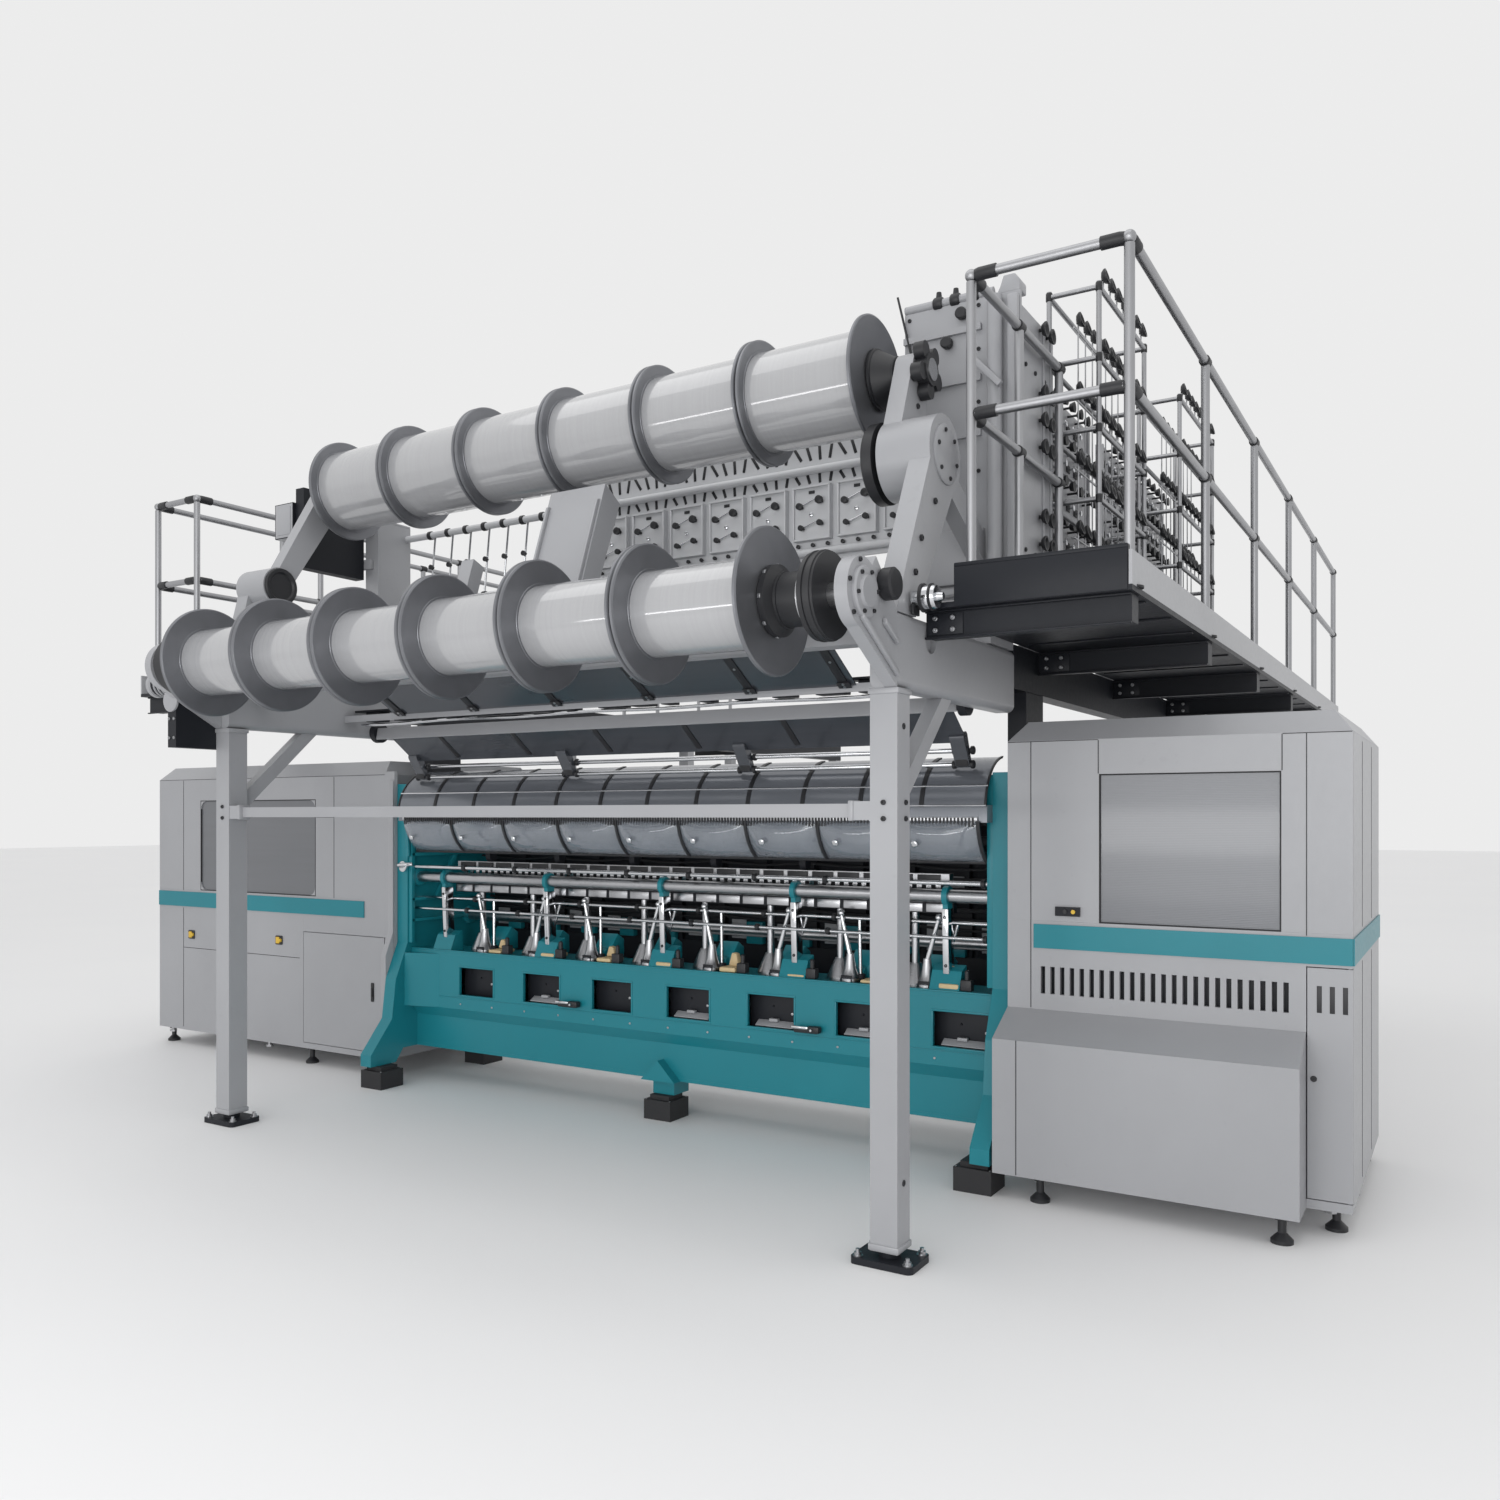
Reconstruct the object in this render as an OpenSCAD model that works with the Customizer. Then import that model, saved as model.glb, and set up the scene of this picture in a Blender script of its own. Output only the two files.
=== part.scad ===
// Raschel warp knitting machine with two sectional warp beams, a knitting
// zone between two side frames, two machine cabinets and a raised gallery.
// Millimetres; X runs to the machine's right, Y to the back, Z up.
// The origin is on the floor under the middle machine pad.

/* [Warp beams] */
// Number of sectional spools on each warp beam
section_n = 6; // [4:1:8]
// Pitch of the sectional spools along a beam
section_pitch = 550; // [500:1:600]
// Diameter of the spool flanges
flange_d = 533; // [480:1:560]
// Thickness of one spool flange
flange_t = 14; // [10:1:20]
// Space between the flanges of two neighbouring spools
flange_space = 8; // [4:1:14]
// Diameter of the yarn on the lower beam
lower_yarn_d = 330; // [200:1:440]
// Diameter of the yarn on the upper beam
upper_yarn_d = 430; // [200:1:440]
// Diameter of the beam shafts
beam_shaft_d = 90; // [60:1:110]
// Distance of the lower beam's axis in front of the posts
lower_beam_ahead = 334; // [300:1:380]
// Height of the lower beam's axis
lower_beam_z = 2420; // [2380:1:2480]
// Height of the upper beam's axis above the lower one
upper_beam_rise = 1060; // [1000:1:1120]
// Distance of the upper beam's axis behind the lower one
upper_beam_back = 860; // [820:1:900]

/* [Front posts] */
// Width of the square posts
post_w = 110; // [90:1:130]
// Room from a beam's outer flange to the middle of a post
post_room = 296; // [280:1:330]
// Distance of the posts in front of the middle pad
post_ahead = 1306; // [1200:1:1400]
// Height of the post tops
post_top = 2120; // [2080:1:2140]
// Height of the tie bar's middle between the posts
tie_z = 1670; // [1500:1:1750]
// Height of the tie bar's section
tie_h = 52; // [40:1:70]

/* [Side beams] */
// Height of the side beams' section
side_beam_h = 280; // [240:1:320]
// Height of the gallery's longitudinal beams
gallery_beam_h = 200; // [160:1:240]

/* [Base frame] */
// Height of the machine pads
pad_h = 130; // [100:1:150]
// Width of the machine pads
pad_w = 175; // [160:1:260]
// Height of the girder's underside
girder_bottom = 210; // [190:1:240]
// Height of the girder's top
girder_top = 820; // [780:1:860]
// Depth of the girder's box
girder_depth = 300; // [260:1:340]
// Thickness of the girder's plates
girder_wall = 20; // [12:1:25]
// Number of windows in the girder's front
window_n = 7; // [6:1:7]
// Pitch of the girder windows
window_pitch = 515; // [480:1:525]
// Width of a girder window
window_w = 280; // [160:1:300]
// Height of a girder window
window_h = 172; // [100:1:180]
// Thickness of the side frames
side_frame_t = 90; // [70:1:110]
// Height of the side frames
side_frame_top = 1850; // [1820:1:1900]

/* [Knitting zone] */
// Diameter of the main shaft
main_shaft_d = 80; // [60:1:90]
// Number of push rods under the needle bar
rod_n = 8; // [6:1:10]
// Diameter of the push rods
push_rod_d = 38; // [28:1:44]
// Diameter of the take-down rollers
roller_d = 64; // [50:1:80]
// Number of clear shields in a row
clear_n = 9; // [7:1:11]
// Number of curved cover segments
cover_n = 12; // [8:1:14]

/* [Cabinets] */
// Width of the right cabinet
right_cabinet_w = 1380; // [1250:1:1450]
// Width of the left cabinet
left_cabinet_w = 2390; // [2300:1:2450]
// Depth of the cabinets
cabinet_depth = 1350; // [1200:1:1450]
// Height of the right cabinet's top
right_cabinet_top = 2070; // [2000:1:2100]
// Height of the left cabinet's top
left_cabinet_top = 2000; // [1950:1:2060]
// Height of the cabinets' undersides
cabinet_bottom = 110; // [90:1:130]
// Thickness of the cabinet panels
panel_t = 24; // [16:1:30]
// Height of the coloured band
band_h = 105; // [80:1:130]
// Number of vent slots across the right cabinet
vent_n = 24; // [16:1:26]

/* [Gallery] */
// Length of one bay of the gallery
bay_l = 1360; // [1250:1:1450]
// Number of bays of the gallery
bay_n = 5; // [3:1:5]
// Clear width of the right gallery between its rails
right_gallery_w = 588; // [540:1:720]
// Clear width of the left gallery between its rails
left_gallery_w = 420; // [380:1:480]
// Setback of the left gallery's front behind the right one's
left_setback = 400; // [300:1:500]
// Height of the top rail above the deck
rail_h = 1245; // [1150:1:1300]
// Height of the middle rail above the deck
mid_rail_h = 720; // [600:1:780]
// Diameter of the rail tubes
rail_d = 38; // [32:1:45]
// Thickness of the deck plates
deck_t = 20; // [12:1:30]

/* [Clearances] */
// Gap between pieces that are fastened together
seat = 0.3; // [0.2:0.05:0.5]
// Radial running clearance of shafts in their bearings
run_gap = 0.06; // [0.02:0.01:0.1]
// Gap round doors and buttons
door_gap = 4; // [2:0.5:6]

/* [Hidden] */
$fn = 64;

// Paint and material colours
light = "#b9babe";
teal = "#2f8f96";
dark = "#505258";
black = "#26282c";
steel = "#c3c7cc";
white = "#e4e4e6";
glass = "#cfd8dc";

// Posts and beam axes
half_w = section_n * section_pitch / 2;
post_x = half_w + post_room;
post_y = -post_ahead;
side_x0 = post_x - post_w / 2;
side_x1 = post_x + post_w / 2;
low_y = post_y - lower_beam_ahead;
low_z = lower_beam_z;
up_y = low_y + upper_beam_back;
up_z = low_z + upper_beam_rise;
foot_h = 26;
foot_neck_h = 24;

// Side beams, which lie on the posts and on the side frames' heads
side_front = post_y - post_w / 2;
side_back = -90;
side_z0 = post_top + seat;
side_z1 = side_z0 + side_beam_h;
gallery_z1 = side_z1 + 30;
gallery_z0 = gallery_z1 - gallery_beam_h;
deck_z0 = gallery_z1 + seat;
deck_z1 = deck_z0 + deck_t;

// Side frames and the girder between them
frame_x1 = half_w + 345;
frame_x0 = frame_x1 - side_frame_t;
frame_pad_y = -300;
frame_front = -105;
frame_back = 700;
girder_y0 = -70;
girder_y1 = girder_y0 + girder_depth;
shaft_y = girder_y0 + girder_depth / 2;
shaft_z = girder_bottom + 430;
window_z = girder_top - 175;
window_shift = 190;
ledge_z = girder_bottom + 262;
ledge_in = 45;
rod_pitch = 2 * half_w / rod_n;

// Knitting zone axes
roller_y = girder_y0 + 50;
roller_z = 1270;
rear_roller_y = 420;
rear_roller_z = 1000;
needle_z = 1180;
needle_h = 50;
rocker_y = shaft_y;
rocker_z = 1760;
rocker_d = 70;
guide_y = shaft_y;
guide_z = 1400;
cover_y = 85;
cover_z = 1660;
cover_r = 270;
cover_t = 6;
shield_y = -360;
shield_z = 2150;
shield_half = half_w + 150;
hinge_rod_d = 24;
shield_rail_d = 22;

// Upper beam carriers
ear_x0 = half_w + 110;
ear_x1 = ear_x0 + 80;
ear_r = 78;
box_y = up_y - 100;
box_z = up_z - 390;
box_r = 160;
left_box = [up_y - 363, up_z - 584];
left_box_r = 105;
wheel_r = 165;
wheel_pin_d = 40;
wheel_pin_l = 60;
lock_pin_d = 30;
lock_pin_l = 60;

// Towers, guide panel and guide walls
tower_x0 = half_w - 48;
tower_x1 = half_w + 484;
tower_y0 = -400;
tower_y1 = 60;
tower_z0 = side_z1 + 200;
tower_z1 = up_z + 420;
tower_t = 24;
left_tower_y = [-350, -95];
panel_y = -100;
panel_z0 = up_z - 560;
panel_z1 = up_z + 60;
cell_z1 = up_z - 190;
panel_tube_z = [panel_z0 + 40, up_z - 110];
panel_x0 = -400;
cell_n = 8;

// Gallery
gallery_y0 = post_y + 256;
bays = [for (i = [0 : bay_n]) gallery_y0 + i * bay_l];
left_gallery_y0 = gallery_y0 + left_setback;
left_bays = [for (i = [0 : bay_n]) i == 0 ? left_gallery_y0 : bays[i]];
gallery_y1 = gallery_y0 + bay_n * bay_l;
right_in = tower_x1 + 31;
right_out = right_in + right_gallery_w;
left_in = -(half_w + 1590);
left_out = left_in - left_gallery_w;
edge = 34;
deck_nose = 100;
rack_x = [side_x1 + 100, side_x1 + 330];
wall_x0 = post_x + 14;
wall_t = 30;
wall_z1 = up_z + 260;
wall_spans = [
    [tower_y1 + 30, tower_y1 + 230],
    [tower_y1 + 260, bays[2] - 530],
    [bays[2] - 270, bays[3] - 130],
];
rack_spans = [[tower_y1 + 50, bays[2] - 710], [bays[2] + 140, bays[3] - 250]];

// Cabinets
right_x0 = frame_x1 + 15;
right_x1 = right_x0 + right_cabinet_w;
right_y0 = -200;
right_y1 = right_y0 + cabinet_depth;
right_seam = right_x1 - 165;
right_box_y = right_y0 - 200;
right_box_z = 800;
left_x1 = -(frame_x1 + 85);
left_x0 = left_x1 - left_cabinet_w;
left_y0 = -130;
left_y1 = left_y0 + cabinet_depth;
left_door_x0 = left_x1 - 780;
left_door_z1 = 880;
cap_h = 90;
band_z = 1070;
window_gap_x = [right_x0 + 405, right_x1 - 255];
window_gap_z = [band_z + band_h + 15, right_cabinet_top - 240];
left_gap_x = [left_x0 + 490, left_x1 - 660];
left_gap_z = [band_z - 70 + band_h + 15, left_cabinet_top - 240];
band_t = 6;
hinge_inset = panel_t / 2;

// Rectangular block between two corners
module block(lo, hi) {
    translate(lo) cube(hi - lo);
}

// Profile in the Y-Z plane, drawn between two stations on X
module along_x(x0, x1) {
    translate([x0, 0, 0]) rotate([90, 0, 90]) linear_extrude(x1 - x0) children();
}

// Round bars along the three axes
module rod_x(d, x0, x1, y, z) {
    translate([x0, y, z]) rotate([0, 90, 0]) cylinder(d = d, h = x1 - x0);
}

module rod_y(d, y0, y1, x, z) {
    translate([x, y0, z]) rotate([-90, 0, 0]) cylinder(d = d, h = y1 - y0);
}

module rod_z(d, z0, z1, x, y) {
    translate([x, y, z0]) cylinder(d = d, h = z1 - z0);
}

// Turned piece on an axis along X, from [radius, station] points
module turned_x(points, x, y, z) {
    translate([x, y, z]) rotate([0, 90, 0]) rotate_extrude() polygon(points);
}

// Flat bar profile of width w between two points
module bar2d(p, q, w) {
    d = (q - p) / norm(q - p);
    n = [-d[1], d[0]] * w / 2;
    polygon([p - n, q - n, q + n, p + n]);
}

// Profile of two discs with flanks just inside their common tangents
module link2d(p, q, rp, rq) {
    span = norm(q - p);
    turn = atan2(q[1] - p[1], q[0] - p[0]);
    lean = acos((rp - rq) / span);
    translate(p) circle(rp);
    translate(q) circle(rq);
    inside = 0.995;
    polygon([
        for (s = [lean, -lean]) p + inside * rp * [cos(turn + s), sin(turn + s)],
        for (s = [-lean, lean]) q + inside * rq * [cos(turn + s), sin(turn + s)]
    ]);
}

// A piece and its mirror image on the other side of the machine
module both_sides() {
    children();
    mirror([1, 0, 0]) children();
}

// Profile in the X-Z plane, drawn between two stations on Y
module along_y(y0, y1) {
    translate([0, y1, 0]) rotate([90, 0, 0]) linear_extrude(y1 - y0) children();
}

// Rectangle with round corners
module rounded2d(lo, hi, r) {
    translate(lo + [r, 0]) square([hi[0] - lo[0] - 2 * r, hi[1] - lo[1]]);
    translate(lo + [0, r]) square([hi[0] - lo[0], hi[1] - lo[1] - 2 * r]);
    for (x = [lo[0] + r, hi[0] - r], z = [lo[1] + r, hi[1] - r]) translate([x, z]) circle(r);
}

// Place of the lock knob on the bearing casting
function lock_at() = [low_y + 156, low_z + 51];

// Stations on X of the push rods
function rod_stations() = [for (i = [0 : rod_n - 1]) (i - (rod_n - 1) / 2) * rod_pitch];

// Stations on X of the girder's windows
function window_stations() = [
    for (i = [0 : window_n - 1]) window_shift + (i - (window_n - 1) / 2) * window_pitch
];

// Stations on X of the roller stands, between the rods
function stand_stations() = [for (i = [0 : 2 : rod_n]) (i - rod_n / 2) * rod_pitch];

// Box girder of welded plates with access windows and guides for the push rods
module front_girder() {
    x = frame_x0 - seat;
    w = girder_wall;
    y0 = girder_y0;
    y_low = girder_y0 + ledge_in;
    z0 = girder_bottom;
    z1 = girder_top;
    ledge_h = 62;
    rib_w = 70;
    gusset_l = 240;
    gusset_d = 60;
    color(teal) {
        difference() {
            along_x(-x, x) polygon([
                [y0, z1 - w - seat], [y0, ledge_z], [y_low, ledge_z - ledge_h], [y_low, z0 + w + seat],
                [y_low + w, z0 + w + seat], [y_low + w, ledge_z - ledge_h],
                [y0 + w, ledge_z], [y0 + w, z1 - w - seat]
            ]);
            for (s = window_stations())
                translate([s - window_w / 2, y0 - w, window_z - window_h / 2])
                    cube([window_w, 3 * w, window_h]);
        }
        block([-x, girder_y1 - w, z0 + w + seat], [x, girder_y1, z1 - w - seat]);
        block([-x, y_low, z0], [x, girder_y1, z0 + w]);
        difference() {
            block([-x, y0, z1 - w], [x, girder_y1, z1]);
            for (s = rod_stations()) rod_z(push_rod_d + 2 * run_gap, z1 - 2 * w, z1 + w, s, shaft_y);
        }
        block([-rib_w, y_low, pad_h + seat], [rib_w, y_low + 2 * rib_w, z0 - seat]);
        along_y(y_low - gusset_d, y_low - seat)
            polygon([[-1.6 * rib_w, z0], [1.6 * rib_w, z0], [0, z0 + 1.6 * rib_w]]);
        translate([0, 0, ledge_z]) linear_extrude(z1 - w - ledge_z)
            polygon([[-x, y0 - seat], [gusset_l - x, y0 - seat], [-x, y0 - gusset_d]]);
    }
}

// Cast side frame with a foot to the front and the bearings of the knitting zone
module side_frame() {
    foot = pad_h + seat;
    toe_y = frame_pad_y - 95;
    difference() {
        along_x(frame_x0, frame_x1) polygon([
            [toe_y, foot], [toe_y, foot + 70], [frame_front - 125, 400], [frame_front - 95, 640],
            [frame_front, girder_top + 40], [frame_front, side_frame_top], [frame_back, side_frame_top],
            [frame_back, foot], [frame_back - 260, foot], [frame_back - 320, girder_bottom],
            [frame_front - 35, girder_bottom], [frame_pad_y + 100, foot]
        ]);
        rod_x(main_shaft_d + 2 * run_gap, frame_x0 - 1, frame_x1 + 1, shaft_y, shaft_z);
        rod_x(rocker_d + 2 * run_gap, frame_x0 - 1, frame_x1 + 1, rocker_y, rocker_z);
        rod_x(roller_d + 2 * run_gap, frame_x0 - 1, frame_x1 + 1, roller_y, roller_z);
        rod_x(roller_d + 2 * run_gap, frame_x0 - 1, frame_x1 + 1, rear_roller_y, rear_roller_z);
    }
}

// Posts from the side frames up to the gallery beams, and the hinge lugs of the front shield
module frame_heads() {
    head_y = [100, 350];
    lug_t = 40;
    lug_r = 58;
    color(dark) both_sides() {
        block([frame_x0, head_y[0], side_frame_top + seat], [frame_x1, head_y[1], gallery_z0 - seat]);
        along_x(side_x0 - lug_t, side_x0 - seat) translate([shield_y, shield_z]) difference() {
            circle(lug_r);
            circle(hinge_rod_d / 2 + run_gap);
        }
    }
}

module side_frame_right() {
    color(teal) side_frame();
}

module side_frame_left() {
    color(teal) mirror([1, 0, 0]) side_frame();
}

// Sheet guard across the back of the knitting zone
module rear_guard() {
    x = frame_x0 - seat;
    guard_t = 12;
    y1 = frame_back - 20;
    color(dark) block([-x, y1 - guard_t, girder_bottom + 60], [x, y1, side_frame_top - 60]);
}

// Rubber levelling pads under the girder and the side frames
module machine_pads() {
    overhang = 6;
    pad_x = frame_x1 + overhang - pad_w / 2;
    rim = 24;
    color(black) for (p = [[0, 0], for (s = [-1, 1], y = [frame_pad_y, frame_back - 130]) [s * pad_x, y]])
        translate([p[0], p[1], 0]) {
            translate([-pad_w / 2, -pad_w / 2, 0]) cube([pad_w, pad_w, pad_h - rim]);
            translate([-pad_w / 2 + rim, -pad_w / 2 + rim, 0])
                cube([pad_w - 2 * rim, pad_w - 2 * rim, pad_h]);
        }
}

// Conical guide bosses round the push rods on the girder
module rod_bosses() {
    bore = push_rod_d / 2 + run_gap;
    color(steel) for (s = rod_stations()) translate([s, shaft_y, girder_top + seat])
        rotate_extrude() polygon([
            [bore, 0], [bore + 52, 0], [bore + 52, 14], [bore + 9, 110], [bore, 110]
        ]);
}

// Pedestals with columns that carry the front take-down roller
module roller_stands() {
    foot_w = 150;
    web_w = 26;
    color(teal) for (s = stand_stations()) difference() {
        union() {
            along_x(s - foot_w / 2, s + foot_w / 2) polygon([
                [girder_y0 + 4, girder_top + seat], [girder_y0 + 116, girder_top + seat],
                [girder_y0 + 104, girder_top + 120], [girder_y0 + 46, girder_top + 96]
            ]);
            along_x(s - web_w / 2, s + web_w / 2) {
                translate([roller_y, roller_z]) circle(roller_d / 2 + 16);
                polygon([
                    [roller_y - 30, roller_z], [roller_y + 30, roller_z],
                    [roller_y + 46, girder_top + 60], [roller_y - 10, girder_top + 60]
                ]);
            }
        }
        rod_x(roller_d + 2 * run_gap, s - foot_w, s + foot_w, roller_y, roller_z);
    }
}

module front_posts() {
    color(light) both_sides()
        block([side_x0, side_front, foot_h + foot_neck_h + seat], [side_x1, side_front + post_w, post_top]);
}

// Foot plates with a round neck under the front posts
module post_feet() {
    plate = [250, 180];
    corner = 24;
    color(dark) both_sides() translate([post_x, post_y, 0]) {
        linear_extrude(foot_h) rounded2d(-plate / 2, plate / 2, corner);
        cylinder(d = post_w * 0.75, h = foot_h + foot_neck_h);
    }
}

// Diagonal braces from the posts up and back to the side beams
module post_braces() {
    brace_w = 70;
    low_end = [side_front + post_w - 40, 1690];
    high_end = [post_y + 520, post_top + 40];
    color(light) both_sides() along_x(post_x - 30, post_x + 30) intersection() {
        bar2d(low_end, high_end, brace_w);
        translate([side_front + post_w + seat, 1500]) square([800, post_top - 1500]);
    }
}

// Flat tie bar between the posts, with a clamp block at each end
module tie_bar() {
    clamp_l = 70;
    clamp_h = tie_h + 18;
    tie_y = side_front + 30;
    end = side_x0 - seat;
    color(light) block([-(end - clamp_l), tie_y - 12, tie_z - tie_h / 2],
                       [end - clamp_l, tie_y + 12, tie_z + tie_h / 2]);
    color(black) both_sides()
        block([end - clamp_l + seat, tie_y - 28, tie_z - clamp_h / 2],
              [end, tie_y + 28, tie_z + clamp_h / 2]);
}

// Box beams from the posts back over the side frames
module side_beams() {
    cut_d = 110;
    color(light) both_sides() difference() {
        along_y(side_front, side_back) rounded2d([side_x0, side_z0], [side_x1, side_z1], 30);
        rod_x(cut_d, side_x1 - 24, side_x1 + 1, gallery_y0, gallery_z1 - 100);
    }
}

// Bearing castings of the lower beam on the front ends of the side beams
module beam_brackets() {
    bearing_r = 125;
    plate_t = 50;
    color(light) both_sides() along_x(side_x1 - plate_t, side_x1) difference() {
        union() {
            translate([low_y, low_z]) circle(bearing_r);
            polygon([
                [low_y - 84, low_z - 91], [side_front - seat, side_z0],
                [side_front - seat, side_z1], [low_y + 100, low_z + 143]
            ]);
        }
        translate([low_y, low_z]) circle(beam_shaft_d / 2 + run_gap);
        translate(lock_at()) circle(lock_pin_d / 2 + run_gap);
    }
}

// Right casting of the upper beam: arm, drive housing, bearing ear and rear brace
module right_arm() {
    foot_z = side_z1 + seat;
    arm_x = [side_x0 + 10, side_x1 - 10];
    difference() {
        union() {
            along_x(arm_x[0], arm_x[1]) polygon([
                [side_front + 10, foot_z], [side_front + 190, foot_z],
                [box_y + 120, box_z - 80], [box_y - 100, box_z + 60]
            ]);
            along_x(ear_x0, arm_x[1]) translate([box_y, box_z]) circle(box_r);
            along_x(ear_x0, ear_x1) link2d([box_y, box_z], [up_y, up_z], box_r - 30, ear_r);
            along_x(arm_x[0] + 10, arm_x[1] - 10) intersection() {
                bar2d([box_y + 40, box_z - 60], [tower_y0 + 100, tower_z0 + 150], 110);
                translate([box_y, tower_z0 - 200]) square([tower_y0 - seat - box_y, 1000]);
            }
        }
        rod_x(beam_shaft_d + 2 * run_gap, ear_x0 - 1, ear_x1 + 1, up_y, up_z);
        rod_x(wheel_pin_d + 2 * run_gap, ear_x0 - 1, ear_x0 + wheel_pin_l, box_y, box_z);
    }
}

// Left casting, drawn on the right: a shorter arm with a slim strut up to the bearing ear
module left_arm() {
    foot_z = side_z1 + seat;
    arm_x = [side_x0 + 10, side_x1 - 10];
    difference() {
        union() {
            along_x(arm_x[0], arm_x[1]) polygon([
                [side_front + 10, foot_z], [side_front + 190, foot_z],
                left_box + [80, -60], left_box + [-70, 50]
            ]);
            along_x(ear_x0, arm_x[1]) translate(left_box) circle(left_box_r);
            along_x(ear_x0, ear_x1) link2d(left_box, [up_y, up_z], left_box_r - 50, ear_r);
        }
        rod_x(beam_shaft_d + 2 * run_gap, ear_x0 - 1, ear_x1 + 1, up_y, up_z);
    }
}

module upper_arms() {
    color(light) {
        right_arm();
        mirror([1, 0, 0]) left_arm();
    }
}

// Cross beam between the side beams, with the sloping plates under the upper beam
module centre_support() {
    cross_y = [post_y + 76, post_y + 176];
    cross_z = [side_z1 - 90, side_z1 - 10];
    head = [up_y - 120, up_z - 300];
    color(light) {
        block([-(side_x0 - seat), cross_y[0], cross_z[0]], [side_x0 - seat, cross_y[1], cross_z[1]]);
        along_x(0, 330) polygon([
            [cross_y[0], cross_z[1] + seat], [cross_y[1], cross_z[1] + seat],
            head + [60, -50], head + [-50, 20]
        ]);
        along_x(-480, -400) polygon([
            [cross_y[0], cross_z[1] + seat], [cross_y[1] - 20, cross_z[1] + seat],
            head + [-90, -300], head + [-160, -270]
        ]);
    }
}

// Left end of a spool on X
function spool_x(i) = -half_w + i * section_pitch + flange_space / 2;
spool_l = section_pitch - flange_space;
beam_bore = beam_shaft_d / 2 + run_gap;

// Flanges of one beam's spools, each with a rounded rim
module flanges(y, z) {
    r = flange_d / 2;
    for (i = [0 : section_n - 1], end = [0, spool_l - flange_t])
        turned_x([
            [beam_bore, 0], [r - 3, 0], [r, 3], [r, flange_t - 3], [r - 3, flange_t], [beam_bore, flange_t]
        ], spool_x(i) + end, y, z);
}

// Yarn wound between the flanges of one beam's spools
module yarn(d, y, z) {
    length = spool_l - 2 * flange_t - 2 * seat;
    for (i = [0 : section_n - 1])
        turned_x([[beam_bore, 0], [d / 2, 0], [d / 2, length], [beam_bore, length]],
                 spool_x(i) + flange_t + seat, y, z);
}

module lower_beam_shaft() {
    end = side_x1 - 15;
    color(steel) rod_x(beam_shaft_d, -end, end, low_y, low_z);
}

module lower_beam_flanges() {
    color(dark) flanges(low_y, low_z);
}

module lower_beam_yarn() {
    color(white) yarn(lower_yarn_d, low_y, low_z);
}

// Driving hubs with a brake disc next to each bearing casting
module lower_beam_hubs() {
    hub_l = side_x0 - half_w - 10;
    color(black) both_sides() turned_x([
        [beam_bore, 0], [130, 0], [130, 24], [98, 44], [98, hub_l - 60], [155, hub_l - 60],
        [155, hub_l], [beam_bore, hub_l]
    ], half_w + seat, low_y, low_z);
}

module upper_beam_shaft() {
    color(steel) rod_x(beam_shaft_d, -(ear_x1 + 10), ear_x1 + star_t + 8, up_y, up_z);
}

module upper_beam_flanges() {
    color(dark) flanges(up_y, up_z);
}

module upper_beam_yarn() {
    color(white) yarn(upper_yarn_d, up_y, up_z);
}

// Conical hubs between the outer flanges and the bearing ears
module upper_beam_hubs() {
    hub_l = ear_x0 - half_w - 4;
    color(black) both_sides() turned_x([
        [beam_bore, 0], [120, 0], [120, 18], [70, hub_l], [beam_bore, hub_l]
    ], half_w + seat, up_y, up_z);
}

// Lobed clamping knob on the free end of the upper beam
star_t = 50;
star_lobes = 5;
module star_knob() {
    lobe_r = 84;
    color(black) translate([ear_x1 + 4, up_y, up_z]) rotate([0, 90, 0]) difference() {
        union() {
            cylinder(d = 130, h = star_t);
            for (i = [0 : star_lobes - 1]) rotate(i * 360 / star_lobes) translate([lobe_r, 0, 0])
                cylinder(d = 72, h = star_t - 6);
        }
        translate([0, 0, -1]) cylinder(r = beam_bore, h = star_t + 2);
    }
}

// Knob that locks the lower beam in its casting
module lock_knob() {
    grip_l = 55;
    color(black) turned_x([
        [0, -lock_pin_l], [lock_pin_d / 2, -lock_pin_l], [lock_pin_d / 2, seat], [52, seat],
        [58, 8], [58, grip_l - 8], [50, grip_l], [0, grip_l]
    ], side_x1, lock_at()[0], lock_at()[1]);
}

// Drive wheel of the upper beam's let-off in its housing
module let_off_wheel() {
    rim_l = 48;
    pin_l = rim_l + 20 + wheel_pin_l - 4;
    color(black) turned_x([
        [0, 0], [wheel_r - 6, 0], [wheel_r, 6], [wheel_r, rim_l], [wheel_pin_d / 2 + 14, rim_l],
        [wheel_pin_d / 2 + 14, rim_l + 18], [wheel_pin_d / 2, rim_l + 18],
        [wheel_pin_d / 2, pin_l], [0, pin_l]
    ], ear_x0 - rim_l - 20, box_y, box_z);
}

// Belt guards and motors of the two let-off drives on the left
module let_off_drives() {
    guard_t = 70;
    motor_d = 120;
    low_x = -(side_x1 + seat);
    low_span = [low_y + 46, low_y + 361];
    up_x = -(side_x1 - 10 + seat);
    up_span = [up_y - 28, up_y + 407];
    color(black) {
        block([low_x - guard_t, low_span[0], low_z - 410], [low_x, low_span[1], low_z + 60]);
        block([up_x - guard_t, up_span[0], up_z - 393], [up_x, up_span[1], up_z + 70]);
    }
    color(light) {
        block([low_x - guard_t, low_span[0] - 10, low_z + 60 + seat], [low_x, low_span[1], low_z + 110]);
        rod_x(motor_d, low_x - guard_t - 250, low_x - guard_t - seat, low_y + 150, low_z - 60);
        block([up_x - guard_t - 160, up_span[0] - 20, up_z - 210],
              [up_x - guard_t - seat, up_span[0] + 150, up_z - 10]);
    }
}

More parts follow.
